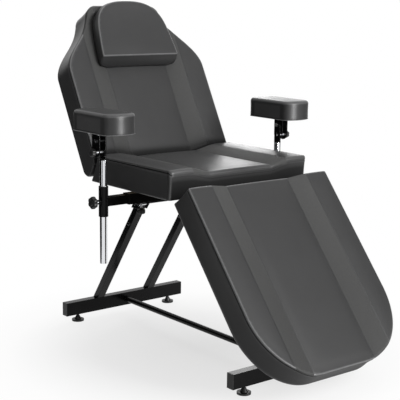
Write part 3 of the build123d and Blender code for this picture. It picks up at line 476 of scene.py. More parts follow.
def panel_finish(colors):
    """Matt black cloth of the stage's panels."""
    finish = Finish("matt_black_panel", (0.01, 0.01, 0.01, 1.0), 1.0, 0.0)
    return finish.done(finish.shade(finish.noise(60.0), 0.8, 1.2))


FINISH_MAKERS = {
    "upholstery": leather_finish,
    "strip": strip_finish,
    "thread": thread_finish,
    "black_steel": steel_finish,
    "black_plastic": plastic_finish,
    "chrome": chrome_finish,
    "zinc_steel": zinc_finish,
    "board": plywood_finish,
    "hook_and_loop": hook_strip_finish,
    "floor": floor_finish,
    "black_panel": panel_finish,
}
finishes = {}


def finish_for(slot_name):
    """The material of a slot, made once."""
    if slot_name not in finishes:
        finishes[slot_name] = FINISH_MAKERS[slot_name](bpy.context.scene.chair_finish)
    return finishes[slot_name]


# Outlines, as rows of (x, s)

def arc(centre, radius, start, end, count):
    """Points on a circle's arc, in degrees, or on an ellipse's where radius is a pair."""
    radii = radius if isinstance(radius, tuple) else (radius, radius)
    angles = np.radians(np.linspace(start, end, count))
    return np.stack([centre[0] + radii[0] * np.cos(angles), centre[1] + radii[1] * np.sin(angles)], 1)


def smooth_through(points, first_way, last_way, count):
    """A smooth curve through a few points that leaves and arrives in given directions."""
    points = np.asarray(points, float)
    gaps = np.linalg.norm(np.diff(points, axis=0), axis=1)
    knots = np.concatenate([[0.0], np.cumsum(gaps)])
    matrix, right = np.eye(len(points)), np.zeros((len(points), 2))
    right[0] = np.asarray(first_way) / np.linalg.norm(first_way)
    right[-1] = np.asarray(last_way) / np.linalg.norm(last_way)
    for index in range(1, len(points) - 1):
        before, after = gaps[index - 1], gaps[index]
        matrix[index, index - 1:index + 2] = (after, 2 * (before + after), before)
        right[index] = 3 * (after * (points[index] - points[index - 1]) / before
                            + before * (points[index + 1] - points[index]) / after)
    slopes = np.linalg.solve(matrix, right)
    places = np.linspace(0.0, knots[-1], count)
    index = np.clip(np.searchsorted(knots, places, side="right") - 1, 0, len(knots) - 2)
    span = (knots[index + 1] - knots[index])[:, None]
    share = (places[:, None] - knots[index][:, None]) / span
    square, cube = share ** 2, share ** 3
    return ((2 * cube - 3 * square + 1) * points[index] + (cube - 2 * square + share) * span * slopes[index]
            + (3 * square - 2 * cube) * points[index + 1] + (cube - square) * span * slopes[index + 1])


def arc_through(first, middle, last, count):
    """Points on the circle's arc through three points."""
    first, middle, last = (np.asarray(point, float) for point in (first, middle, last))
    rows = 2 * np.array([middle - first, last - first])
    centre = np.linalg.solve(rows, [middle @ middle - first @ first, last @ last - first @ first])
    angles = [math.degrees(math.atan2(point[1] - centre[1], point[0] - centre[0])) for point in (first, last)]
    turn = (angles[1] - angles[0] + 180.0) % 360.0 - 180.0
    return arc(centre, float(np.linalg.norm(first - centre)), angles[0], angles[0] + turn, count)


def spaced(path, step, marks, mark_gap):
    """A right-hand half outline with points at most a step apart, and extra ones where it crosses marked widths."""
    path = path[np.concatenate([[True], np.linalg.norm(np.diff(path, axis=0), axis=1) > 1e-6])]
    length = np.concatenate([[0.0], np.cumsum(np.linalg.norm(np.diff(path, axis=0), axis=1))])
    crossings = []
    for mark in marks:
        side = path[:, 0] - mark
        for index in np.nonzero(side[:-1] * side[1:] < 0)[0]:
            share = side[index] / (side[index] - side[index + 1])
            crossings.append(length[index] + share * (length[index + 1] - length[index]))
    kept = [length[-1]]
    for start, end in zip(length[:-1], length[1:]):
        kept += list(np.linspace(start, end, max(1, math.ceil((end - start) / step)), endpoint=False))
    kept = [place for place in kept if all(abs(place - other) > mark_gap for other in crossings)]
    places = np.array(sorted(kept + crossings))
    return np.stack([np.interp(places, length, path[:, 0]), np.interp(places, length, path[:, 1])], 1)


def whole_outline(half):
    """Joins a right-hand half outline, from its lower to its upper middle, with its mirror image."""
    left = half[::-1] * (-1.0, 1.0)
    return np.concatenate([half, left[1:-1]])


def outward(loop):
    """The outward direction at each point of a loop that runs anticlockwise."""
    tangent = np.roll(loop, -1, 0) - np.roll(loop, 1, 0)
    tangent /= np.linalg.norm(tangent, axis=1)[:, None]
    return np.stack([tangent[:, 1], -tangent[:, 0]], 1)


def box_half(half_width, start, end, corner, seam_reach):
    """Right half of a rectangle with rounded corners and close points beside the front one, for its seam."""
    beside = [(half_width, start + corner + share * seam_reach) for share in (0.17, 0.33, 0.5, 0.67, 0.83, 1.0)]
    return np.concatenate([
        [(0.0, start)], arc((half_width - corner, start + corner), corner, -90, 0, 7), beside,
        arc((half_width - corner, end - corner), corner, 0, 90, 7), [(0.0, end)]])


# The backrest's shoulder and its head end's corner, as rows of (from its side, from its head end)
SHOULDER = ((0.0, 0.254), (0.042, 0.17), (0.097, 0.11), (0.136, 0.04))
HEAD_CORNER = ((0.136, 0.04), (0.1495, 0.0125), (0.175, 0.0))
SHOULDER_END_WAY = (-0.039, 0.14)


def backrest_half(sizes, sections):
    """Right half of the backrest's outline: straight sides, sloping shoulders and a narrow head end."""
    half, end, corner = sizes.width / 2, sections.backrest_length, 0.009
    shoulder, head = ([(half - inward, end - back) for inward, back in rows] for rows in (SHOULDER, HEAD_CORNER))
    return np.concatenate([
        [(0.0, 0.0)], arc((half - corner, corner), corner, -90, 0, 6),
        smooth_through(shoulder, (0.0, 1.0), SHOULDER_END_WAY, 52), arc_through(*head, 12)[1:], [(0.0, end)]])


def legrest_half(sizes, sections):
    """Right half of the leg rest's outline: straight sides and a round foot end."""
    half, end, start = sizes.width / 2, sections.legrest_length, -0.001
    flat, curve, corner = 0.1, 0.224, 0.006
    return np.concatenate([
        [(0.0, start)], arc((half - corner, start + corner), corner, -90, 0, 6),
        arc((flat, end - curve), (half - flat, curve), 0, 90, 52), [(0.0, end)]])


# The pillow's side from its lower edge to its round end, as shares of its half width and of its length
PILLOW_SIDE = ((1.0, 0.03), (0.975, 0.3), (0.93, 0.53), (0.835, 0.75), (0.64, 0.905), (0.0, 1.0))


def pillow_half(sections):
    """Right half of the pillow's outline: a straight lower edge under a round end."""
    half, corner = sections.pillow_width / 2, 0.004
    start, length = sections.pillow_start, sections.pillow_end - sections.pillow_start
    side = smooth_through([(half * x, start + length * y) for x, y in PILLOW_SIDE], (0.0, 1.0), (-1.0, 0.0), 70)
    return np.concatenate([[(0.0, start)], arc((half - corner, start + corner), corner, -90, 0, 5), side])


def pad_half(arms):
    """Right half of an arm pad's outline: straight sides, bowed ends and rounded corners."""
    half, reach, bulge, corner = arms.pad_width / 2, arms.pad_length / 2, arms.pad_bulge, arms.pad_corner
    radius = (half ** 2 + bulge ** 2) / (2 * bulge)
    middle = reach - radius
    turn_x = half - corner
    turn_s = middle + math.sqrt((radius - corner) ** 2 - turn_x ** 2)
    bend = math.degrees(math.atan2(turn_s - middle, turn_x))
    far = np.concatenate([arc((turn_x, turn_s), corner, 0, bend, 8), arc((0.0, middle), radius, bend, 90, 12)[1:]])
    return np.concatenate([far[::-1] * (1.0, -1.0), far])


# Cushion bodies

def without(x, *others):
    """The rule of a form or a tone that a cushion doesn't have."""
    return np.zeros_like(x)


# What a cushion has unless its own shape says otherwise, such as a full painted highlight along its face's edge
PLAIN_CUSHION = {
    "seams": (), "bottom": without, "warp": lambda local: local, "welt": None, "bead": False, "corner_seam": without,
    "recess": None, "recess_depth": 0.0123, "edge_tone": lambda x, s: np.ones_like(x), "face_tone": without,
    "side_tone": without,
}


class CushionShape:
    """What tells one sewn cushion from another, all in its section's local frame."""

    def __init__(self, half, top, rounding=0.004, **own):
        self.half = half
        self.top = top
        self.round_over = lambda x, s: np.full_like(x, rounding)
        for name, value in {**PLAIN_CUSHION, **own}.items():
            setattr(self, name, value)


# Mesh lines beside a seam, the groove's width, and the width and the offset of the swell on both its sides
SEAM_OFFSETS = (-0.008, -0.0042, -0.0018, 0.0, 0.0018, 0.0042, 0.008)
GROOVE_WIDTH = 0.0026
SWELL_WIDTH, SWELL_OFFSET = 0.004, 0.008
# The underside's rim in the board's recess, the depth of an upright corner seam, and the angles of a rounded edge
RECESS_RIM = 0.0004
CORNER_SEAM_DEPTH = 0.0028
ROUND_ANGLES = (14, 29, 44, 60, 75, 90)
# How far in from an edge, beside a seam and down from a face the cover is held in the simulation
EDGE_HOLD, SEAM_HOLD, FACE_HOLD = 0.014, 0.01, 0.02


def seam_marks(seams):
    """The widths at which a face gets mesh lines, around each sewn seam."""
    return sorted({round(seam + offset, 5) for seam in seams for offset in SEAM_OFFSETS})


# Rows at a cushion's foot, plain or with a sewn bead, as (inset, rise, tone), and those of the welt under its
# face's edge, as (share of the welt's depth, rise, tone); a tone above 0 is a painted highlight, one below 0 painted
# shade
FOOT_ROWS = ((0.0035, 0.0, 0.0), (0.001, 0.0012, 0.0), (0.0, 0.0045, 0.0))
BEAD_ROWS = ((0.003, 0.0, 0.0), (0.0002, 0.0004, 1.0), (-0.001, 0.0014, 1.0), (-0.001, 0.0024, 1.0),
             (0.0006, 0.0034, -0.6), (0.0004, 0.0052, 0.0))
WELT_ROWS = ((0.0, -0.0082, 0.2), (0.2, -0.007, -0.3), (1.0, -0.006, -1.0), (1.0, -0.0042, -1.0),
             (0.2, -0.003, -0.3), (0.0, -0.0018, 0.3))


def side_rows(shape):
    """Rows up a cushion's side, as (inset, share of the welt, share of the height, rise in metres, hold, tone of
    painted highlight and shade).
    """
    rows = [(inset, 0.0, 0.0, rise, 1.0, tone) for inset, rise, tone in (BEAD_ROWS if shape.bead else FOOT_ROWS)]
    for share in np.linspace(0.14, 0.84, 9):
        bow = math.sin(math.pi * share)
        rows.append((shape.draw_in * bow, 0.0, share, 0.0, 1 - 0.7 * bow, 0.0))
    if shape.welt:
        rows += [(0.0, welt, 1.0, rise, 1.0, tone) for welt, rise, tone in WELT_ROWS]
    return rows + [(0.0, 0.0, 1.0, -0.0002, 1.0, 0.0)]


def inside_loop(points, loop):
    """Which points lie inside a closed loop."""
    x, y = points[:, 0][:, None], points[:, 1][:, None]
    ax, ay = loop[:, 0][None], loop[:, 1][None]
    bx, by = np.roll(loop[:, 0], -1)[None], np.roll(loop[:, 1], -1)[None]
    crosses = (ay > y) != (by > y)
    with np.errstate(divide="ignore", invalid="ignore"):
        at = ax + (y - ay) * (bx - ax) / (by - ay)
    return (crosses & (x < at)).sum(1) % 2 == 1


def loop_distance(points, loop):
    """How far points lie from a closed loop's corner points."""
    found = np.full(len(points), 1.0)
    for corner in loop:
        found = np.minimum(found, np.hypot(points[:, 0] - corner[0], points[:, 1] - corner[1]))
    return found


def field_points(loop, step, marks):
    """Even points inside a loop, with columns of points on the marked widths."""
    low, high = loop.min(0), loop.max(0)
    rows = np.arange(low[1] + step / 2, high[1], step * 0.87)
    grid = [(x + (index % 2) * step / 2, s) for index, s in enumerate(rows)
            for x in np.arange(low[0], high[0], step)]
    grid = np.array(grid)
    for mark in marks:
        grid = grid[np.abs(np.abs(grid[:, 0]) - mark) > step * 0.36]
    columns = [(side * mark, s) for mark in marks for side in (-1, 1)
               for s in np.arange(low[1] + step / 2, high[1], step * 0.87)]
    points = np.concatenate([grid, np.array(columns).reshape(-1, 2)]) if columns else grid
    points = points[inside_loop(points, loop)]
    return points[loop_distance(points, loop) > step * 0.42]


def filled_loop(loop, inner, first, start):
    """Places and triangles that fill a ring: its own points are numbered from first, the new ones from start."""
    count = len(loop)
    points = [Vector(p) for p in np.concatenate([loop, inner])]
    edges = [(index, (index + 1) % count) for index in range(count)]
    result = delaunay_2d_cdt(points, edges, [], 1, 1e-7)
    sources = [ids[0] if ids else -1 for ids in result[3]]
    numbers = [first + source if 0 <= source < count else start + index for index, source in enumerate(sources)]
    return np.array([tuple(v) for v in result[0]]), [tuple(numbers[i] for i in face) for face in result[2]]


def ring_faces(first, second, count):
    """Quads between two rings of the same number of points."""
    return [(first + i, first + (i + 1) % count, second + (i + 1) % count, second + i) for i in range(count)]


def stacked_faces(first, rings, count):
    """Quads between all neighbours in a stack of rings."""
    starts = [first + index * count for index in range(rings)]
    return [face for low, high in zip(starts, starts[1:]) for face in ring_faces(low, high, count)]


def cushion_rings(shape, loop, normal):
    """All rings of a cushion from its underside to its face: rows of (x, s, n), each ring's hold and its tone of
    painted highlight and shade.
    """
    x, s = loop[:, 0], loop[:, 1]
    foot, radius, edge = shape.bottom(x, s), shape.round_over(x, s), shape.edge_tone(x, s)
    shoulder = shape.top(x, s) - radius
    rings, hold, tones = [], [], []
    if shape.recess:
        inner = loop - normal * shape.recess
        low = shape.bottom(inner[:, 0], inner[:, 1])
        rings += [np.column_stack([inner, low + rise]) for rise in (shape.recess_depth, RECESS_RIM)]
        hold += [1.0, 1.0]
        tones += [np.zeros_like(x)] * 2
    depth = shape.welt(x, s, normal) if shape.welt else np.zeros_like(x)
    sunk_and_shaded = depth / depth.max() if shape.welt else 1.0
    corner = shape.corner_seam(x, s)
    for inset, welt, share, rise, held, tone in side_rows(shape):
        place = loop - normal * (inset + welt * depth + np.maximum(corner, 0) * CORNER_SEAM_DEPTH)[:, None]
        rings.append(np.column_stack([place, foot + (shoulder - foot) * share + rise]))
        hold.append(held)
        # The rows' painted highlights and shade: the welt's and the bead's, the corner seam's, and the shape's own
        # on its sides
        tones.append((tone * sunk_and_shaded if tone < 0 else tone) - corner + shape.side_tone(x, s, share))
    for angle in ROUND_ANGLES:
        place = loop - normal * radius[:, None] * (1 - math.cos(math.radians(angle)))
        top = shape.top(place[:, 0], place[:, 1])
        rings.append(np.column_stack([place, shoulder + (top - shoulder) * math.sin(math.radians(angle))]))
        hold.append(1.0)
        # The rounded edge's painted highlight, or its painted shade where the edge tone is below 0, weaker on the
        # last ring
        tones.append(np.where(edge < 0, edge, edge * 0.3) if angle == ROUND_ANGLES[-1] else edge)
    return rings, hold, np.concatenate(tones)


def cushion_mesh(shape):
    """The closed mesh of a cushion in its local frame, and each point's hold and its tone of painted highlight and
    shade.
    """
    marks = seam_marks(shape.seams)
    loop = whole_outline(spaced(shape.half, shape.step, marks, shape.step * 0.3))
    rings, hold, tone = cushion_rings(shape, loop, outward(loop))
    count, sides = len(loop), len(loop) * len(rings)
    face_loop, under_loop = rings[-1][:, :2], rings[0][:, :2]
    face, over = filled_loop(face_loop, field_points(face_loop, shape.step, marks), sides - count, sides)
    under, below = filled_loop(under_loop, field_points(under_loop, shape.step * 5, []), 0, sides + len(face))
    level = shape.bottom(under[:, 0], under[:, 1]) + (shape.recess_depth if shape.recess else 0.0)
    vertices = np.concatenate([*rings, np.column_stack([face, shape.top(face[:, 0], face[:, 1])]),
                               np.column_stack([under, level])])
    face_hold = np.exp(-(loop_distance(face, face_loop) / EDGE_HOLD) ** 2)
    held = np.concatenate([np.repeat(hold, count), face_hold, np.ones(len(under))])
    # The face's painted shade from the shape's face tone
    tone = np.concatenate([tone, shape.face_tone(face[:, 0], face[:, 1]), np.zeros(len(under))])
    faces = stacked_faces(0, len(rings), count) + over + [corners[::-1] for corners in below]
    return only_used(vertices, faces, held, tone)


def only_used(vertices, faces, held, tone):
    """Leaves out the points that no face uses."""
    used = np.unique([index for face in faces for index in face])
    number = np.zeros(len(vertices), int)
    number[used] = np.arange(len(used))
    return vertices[used], [tuple(int(number[index]) for index in face) for face in faces], held[used], tone[used]


def seam_grooves(x, seams, depth):
    """The valley of each sewn seam across a face, with a slight swell on both its sides."""
    fall = np.zeros_like(x)
    for seam in seams:
        away = np.abs(np.abs(x) - seam)
        swell = depth * 0.2 * np.exp(-((away - SWELL_OFFSET) / SWELL_WIDTH) ** 2)
        fall += depth * np.exp(-(away / GROOVE_WIDTH) ** 2) - swell
    return fall


def sewn_profile(sizes, channel_end=None):
    """The height of a sewn face over its board by its place across the chair; the channel may run out at an end."""
    edge_x, seam_x, channel_x = sizes.width / 2, sizes.bolster_seam, sizes.channel_seam
    bolster = (edge_x + seam_x) / 2

    def height(x, s):
        away = np.abs(x)
        left = np.clip((channel_end - s) / 0.05, 0, 1) if channel_end else np.ones_like(away)
        channel = sizes.channel_depth * (3 - 2 * left) * left ** 2
        side = sizes.thickness - sizes.crown * ((away - bolster) / (edge_x - bolster)) ** 2
        low = sizes.thickness - channel
        middle = low + sizes.crown * (1 - (away / channel_x) ** 2) * left
        slope = low + (channel - sizes.crown) * (away - channel_x) / (seam_x - channel_x)
        level = np.where(away > seam_x, side, np.where(away > channel_x, slope, middle))
        return level - seam_grooves(x, (seam_x, channel_x), sizes.seam_depth)

    return height


# Mesh objects

def add_piece(name, points, faces, materials, smooth=True):
    """A mesh object at the origin from places in the chair's frame."""
    mesh = bpy.data.meshes.new(name)
    mesh.from_pydata([tuple(p) for p in points], [], faces)
    for material in materials:
        mesh.materials.append(material)
    mesh.polygons.foreach_set("use_smooth", [smooth] * len(mesh.polygons))
    bm = bmesh.new()
    bm.from_mesh(mesh)
    bmesh.ops.recalc_face_normals(bm, faces=bm.faces)
    bm.to_mesh(mesh)
    bm.free()
    piece = bpy.data.objects.new(name, mesh)
    bpy.context.scene.collection.objects.link(piece)
    return piece


def flat_map(mesh, local):
    """A UV map in metres that follows the cushion's face."""
    layer = mesh.uv_layers.new(name="flat")
    corner = np.zeros(len(mesh.loops), int)
    mesh.loops.foreach_get("vertex_index", corner)
    layer.data.foreach_set("uv", local[corner, :2].astype(np.float32).ravel())


def paint_strips(mesh, local, sizes):
    """Gives the sloping strips of a sewn face their own material."""
    lowest = sizes.thickness - 0.004 - sizes.channel_depth
    for polygon in mesh.polygons:
        middle = local[list(polygon.vertices)].mean(0)
        if sizes.channel_seam < abs(middle[0]) < sizes.bolster_seam and middle[2] > lowest:
            polygon.material_index = 1


# How a cover behaves in the simulation, and how many frames it gets to settle
CLOTH = {"use_pressure": True, "tension_stiffness": 12.0, "compression_stiffness": 12.0, "shear_stiffness": 6.0,
         "bending_stiffness": 0.8, "quality": 4}
CLOTH_FRAMES = 20


def swollen(piece, held, local_limit, pressure):
    """Blows a cushion up with the cloth simulation between its seams, by no more than a limit."""
    scene = bpy.context.scene
    rest = np.array([v.co for v in piece.data.vertices], float)
    group = piece.vertex_groups.new(name="held_by_seams")
    for weight in np.unique(held):
        group.add([int(i) for i in np.nonzero(held == weight)[0]], float(weight), "REPLACE")
    modifier = piece.modifiers.new("cover", "CLOTH")
    cloth = modifier.settings
    for name, value in CLOTH.items():
        setattr(cloth, name, value)
    cloth.uniform_pressure_force = pressure
    cloth.effector_weights.gravity = 0.0
    cloth.vertex_group_mass = group.name
    modifier.collision_settings.use_collision = False
    for number in range(1, CLOTH_FRAMES + 1):
        scene.frame_set(number)
    evaluated = piece.evaluated_get(bpy.context.evaluated_depsgraph_get())
    moved = np.array([v.co for v in evaluated.data.vertices], float) - rest
    piece.modifiers.remove(modifier)
    piece.vertex_groups.clear()
    scene.frame_set(1)
    length = np.linalg.norm(moved, axis=1)
    share = np.where(length > 1e-9, local_limit * np.tanh(length / local_limit) / np.maximum(length, 1e-9), 0.0)
    share = share * (1.0 - held)
    piece.data.vertices.foreach_set("co", (rest + moved * share[:, None]).astype(np.float32).ravel())
    piece.data.update()


def held_weights(local, shape, held, fixed=None):
    """How firmly each point of a cushion's cover is held: the edges, the seams and what lies under a pillow."""
    x, s, n = local[:, 0], local[:, 1], local[:, 2]
    weight = held.copy()
    for seam in shape.seams:
        near = np.exp(-((np.abs(np.abs(x) - seam)) / SEAM_HOLD) ** 2)
        weight = np.maximum(weight, np.where(n > shape.top(x, s) - FACE_HOLD, near, 0.0))
    if fixed is not None:
        weight = np.maximum(weight, fixed(x, s, n))
    return np.round(weight, 1)


def upholster(name, shape, place, fixed=None, strips=False):
    """Builds one cushion: its mesh, its swell, its strips, its flat map and the tone of its painted highlights and
    shade.
    """
    sizes = bpy.context.scene.chair_cushions
    vertices, faces, held, tone = cushion_mesh(shape)
    slots = ("upholstery", "strip") if strips else ("upholstery",)
    piece = add_piece(name, place.points(shape.warp(vertices)), faces, [finish_for(slot) for slot in slots])
    flat_map(piece.data, vertices)
    # Painted highlights and shade, read by the finishes
    piece.data.attributes.new("edge_tone", "FLOAT", "POINT").data.foreach_set("value", tone.astype(np.float32))
    if strips:
        paint_strips(piece.data, vertices, sizes)
    swollen(piece, held_weights(vertices, shape, held, fixed), sizes.swell_limit, sizes.fill_pressure)
    return piece


def section_shape(sizes, half, top, **own):
    """The shape of a section's cushion: what all three share, and what is its own."""
    shared = {"seams": (sizes.channel_seam, sizes.bolster_seam), "step": sizes.mesh_step,
              "recess": sizes.board_inset, "rounding": sizes.edge_round, "draw_in": sizes.draw_in,
              "welt": lambda x, s, normal: np.full_like(x, sizes.welt_depth)}
    return CushionShape(half, top, **{**shared, **own})


def seat_shape(sizes, sections):
    """The seat: a square plan, a rounded front edge and a rear end that leans in."""
    half_width, front, rear = sizes.width / 2, sections.seat_front, sections.seat_rear
    corner, reach = 0.012, 0.012

    def round_over(x, s):
        end = np.maximum(front - s, s - rear)
        return sizes.edge_round + np.clip(1 + end / 0.012, 0, 1) * 0.008

    def welt(x, s, normal):
        return sizes.welt_depth * np.clip((np.abs(normal[:, 0]) - 0.3) / 0.4, 0, 1)

    def warp(local):
        lean = sections.seat_rear_slant * (local[:, 1] - front) / (rear - front)
        level = np.clip(local[:, 2] / sizes.thickness, 0, 1)
        bowed = 0.006 * np.clip(1 - (local[:, 1] - front) / 0.02, 0, 1) * (1 - level) ** 2
        return np.column_stack([local[:, 0], local[:, 1] - lean * level + bowed, local[:, 2]])

    # A seam pressed into the side at each front corner, with a painted dark line, and a painted highlight on the
    # corner's rounding beside it
    def corner_seam(x, s):
        away = s - (front + corner + reach / 3)
        sunk_and_shaded = np.where(np.abs(x) > half_width - 0.002, np.exp(-(away / 0.0018) ** 2), 0.0)
        turn = np.hypot(np.abs(x) - half_width + corner * 0.4, s - front - corner * 0.2)
        return sunk_and_shaded - 0.45 * np.clip(1.3 - turn / (corner * 0.5), 0, 1)

    # Painted shade on the front, growing towards its bottom
    def side_tone(x, s, share):
        on_front = (s < front + 0.002) & (np.abs(x) < half_width - corner * 0.6)
        return np.where(on_front, -0.9 * min(max((0.92 - share) / 0.25, 0.0), 1.0), 0.0)

    # Painted shade along the rear edge where the backrest meets the seat, and a painted highlight on the other edges
    # that grows towards the sides
    def edge_tone(x, s):
        return np.where(s > rear - 0.012, -0.9, np.clip(np.abs(x) / 0.2, 0, 1) * 0.3)

    return section_shape(sizes, box_half(half_width, front, rear, corner, reach), sewn_profile(sizes),
                         round_over=round_over, warp=warp, welt=welt, corner_seam=corner_seam, side_tone=side_tone,
                         edge_tone=edge_tone)


# How far from the hinge the backrest's slanted heel begins, by the height over its board
HEEL_HEIGHTS = (0.0, 0.0087, 0.018, 0.03, 0.1)
HEEL_STARTS = (0.034, 0.017, 0.0115, 0.01, 0.057)


def backrest_shape(sizes, sections):
    """The backrest: a slanted heel under square shoulders and a narrow head end."""
    heel_reach, head_reach = 0.3, 0.06

    def warp(local):
        x, s, n = local[:, 0], local[:, 1], local[:, 2]
        heel = np.interp(n, HEEL_HEIGHTS, HEEL_STARTS) * np.clip(1 - s / heel_reach, 0, 1) ** 2
        rise = np.clip((s - sections.backrest_length + head_reach) / 0.055, 0, 1)
        tuck = 0.008 * rise ** 1.5 * np.clip(1 - n / 0.1, 0, 1) * np.clip(np.abs(x) / 0.12, 0, 1)
        return np.column_stack([x - np.sign(x) * tuck, s + heel, n])

    def round_over(x, s):
        return sizes.edge_round + np.clip(1 - s / 0.012, 0, 1) * 0.022

    # Painted shade on the face near the heel, where the backrest meets the seat
    def face_tone(x, s):
        return -np.minimum(1.3 * np.exp(-(s / 0.045) ** 2) + 0.2 * np.exp(-s / 0.06), 0.97)

    # The heel's edge gets painted shade and every other edge a painted highlight
    return section_shape(sizes, backrest_half(sizes, sections), sewn_profile(sizes, sections.channel_end),
                         round_over=round_over, warp=warp, face_tone=face_tone,
                         edge_tone=lambda x, s: np.where(s < 0.02, -0.97, 1.0))


def legrest_shape(sizes, sections):
    """The leg rest: a straight end at the hinge and a round foot end."""
    # Painted shade that grows towards the foot end, on the face and up the sides
    def darker(s, most):
        return -most * np.clip(s / 0.45, 0, 1)

    return section_shape(sizes, legrest_half(sizes, sections), sewn_profile(sizes),
                         face_tone=lambda x, s: darker(s, 0.28),
                         side_tone=lambda x, s, share: darker(s, 0.4) * (0 < share < 1))


def pillow_shape(sizes, sections):
    """The pillow: its underside follows the backrest's face, and its lower end leans out towards the head."""
    profile = sewn_profile(sizes, sections.channel_end)
    low = sizes.thickness - sizes.channel_depth
    start, end = sections.pillow_start, sections.pillow_end
    gap, crown = 0.0012, 0.003

    def bottom(x, s):
        return profile(x, s) + seam_grooves(x, (sizes.channel_seam,), sizes.seam_depth) + gap

    def top(x, s):
        across = np.clip(1 - (x / (sections.pillow_width / 2)) ** 2, 0, 1)
        along = np.clip(1 - ((s - (start + end) / 2) / ((end - start) / 2)) ** 2, 0, 1)
        return low + sections.pillow_height - crown + crown * across * along

    def warp(local):
        level = np.clip((local[:, 2] - low) / sections.pillow_height, 0, 1)
        share = np.clip(1 - (local[:, 1] - start) / 0.12, 0, 1) ** 2
        return np.column_stack([local[:, 0], local[:, 1] + (0.002 + 0.031 * level) * share, local[:, 2]])

    return CushionShape(pillow_half(sections), top, rounding=0.0042, bottom=bottom, warp=warp, step=0.006,
                        draw_in=-0.0035)


def pad_shape(arms):
    """An arm pad: bowed ends, rounded corners and a crowned top."""
    half, reach = arms.pad_width / 2, arms.pad_length / 2
    straight = reach - arms.pad_bulge - arms.pad_corner

    def top(x, s):
        return arms.pad_height - 0.002 * ((x / half) ** 2 + (s / reach) ** 4) / 2

    # A painted highlight along the edges and on the sewn bead, painted shade under the bead, and painted light on
    # the straight sides
    return CushionShape(pad_half(arms), top, rounding=0.0115, step=0.005, recess=0.0088, recess_depth=0.0093,
                        draw_in=0.0006, bead=True, edge_tone=lambda x, s: np.full_like(x, 0.4),
                        side_tone=lambda x, s, share: (0 < share < 1) * np.where(np.abs(s) < straight, 0.25, 0.0))


# Repeated pieces, placed by Geometry Nodes

class Growth(Nodes):
    """Builds one Geometry Nodes tree with named inputs and turns its result into a plain mesh."""

    def __init__(self, name, inputs):
        super().__init__(bpy.data.node_groups.new(name, "GeometryNodeTree"))
        sockets = [("Geometry", "INPUT", "Geometry")] + [(label, "INPUT", kind) for label, kind in inputs.items()]
        for label, way, kind in sockets + [("Geometry", "OUTPUT", "Geometry")]:
            self.tree.interface.new_socket(label, in_out=way, socket_type=f"NodeSocket{kind}")

    def given(self, label):
        """One of the tree's named inputs."""
        return self.node("NodeGroupInput", {}, {}, label)

    def finish(self, instances):
        """Makes the instances real and gives them their material."""
        real = self.node("GeometryNodeRealizeInstances", {}, {0: instances})
        dressed = self.node("GeometryNodeSetMaterial", {}, {"Geometry": real, "Material": self.given("Finish")})
        self.node("NodeGroupOutput", {}, {0: dressed})
        return self

    def grown(self, name, source, values):
        """Runs the tree on a source mesh and keeps the result as a plain mesh object."""
        modifier = source.modifiers.new("growth", "NODES")
        modifier.node_group = self.tree
        for item in self.tree.interface.items_tree:
            if item.in_out == "INPUT" and item.name in values:
                modifier[item.identifier] = values[item.name]
        source.update_tag()
        evaluated = source.evaluated_get(bpy.context.evaluated_depsgraph_get())
        mesh = bpy.data.meshes.new_from_object(evaluated)
        source.modifiers.remove(modifier)
        bpy.data.objects.remove(source)
        mesh.name = name
        mesh.polygons.foreach_set("use_smooth", [True] * len(mesh.polygons))
        piece = bpy.data.objects.new(name, mesh)
        bpy.context.scene.collection.objects.link(piece)
        return piece


def stitch_growth():
    """Stitches at an even pitch along every line of a mesh."""
    growth = Growth("seam_stitches", {"Pitch": "Float", "Length": "Float", "Thickness": "Float",
                                      "Finish": "Material"})
    line = growth.node("GeometryNodeMeshToCurve", {}, {0: growth.given("Geometry")})
    even = growth.node("GeometryNodeResampleCurve", {"mode": "LENGTH"},
                       {"Curve": line, "Length": growth.given("Pitch")})
    way = growth.node("GeometryNodeInputTangent", {}, {})
    turn = growth.node("FunctionNodeAlignRotationToVector", {"axis": "X"}, {"Vector": way})
    half_length, half_thick = growth.given("Length") * 0.5, growth.given("Thickness") * 0.5
    size = growth.node("ShaderNodeCombineXYZ", {}, {0: half_length, 1: half_thick, 2: half_thick})
    stitch = growth.node("GeometryNodeMeshUVSphere", {}, {"Segments": 6, "Rings": 5, "Radius": 1.0})
    return growth.finish(growth.node("GeometryNodeInstanceOnPoints", {},
                                     {"Points": even, "Instance": stitch, "Rotation": turn, "Scale": size}))


def screw_growth():
    """A screw at every point of a mesh, all turned the same way."""
    growth = Growth("board_screws", {"Screw": "Object", "Turn": "Vector", "Finish": "Material"})
    screw = growth.node("GeometryNodeObjectInfo", {"transform_space": "ORIGINAL"},
                        {"Object": growth.given("Screw")}, "Geometry")
    turn = growth.node("FunctionNodeEulerToRotation", {}, {0: growth.given("Turn")})
    return growth.finish(growth.node("GeometryNodeInstanceOnPoints", {},
                                     {"Points": growth.given("Geometry"), "Instance": screw, "Rotation": turn}))


def line_source(paths):
    """A mesh of open lines, as the source of a growth."""
    points, edges = [], []
    for path in paths:
        edges += [(len(points) + i, len(points) + i + 1) for i in range(len(path) - 1)]
        points += [tuple(point) for point in path]
    mesh = bpy.data.meshes.new("lines")
    mesh.from_pydata(points, edges, [])
    source = bpy.data.objects.new("lines", mesh)
    bpy.context.scene.collection.objects.link(source)
    return source


def ring(reach, angles, z):
    """One ring around Z, of one radius or of one for each angle."""
    return np.column_stack([reach * np.cos(angles), reach * np.sin(angles), np.full(len(angles), z)])


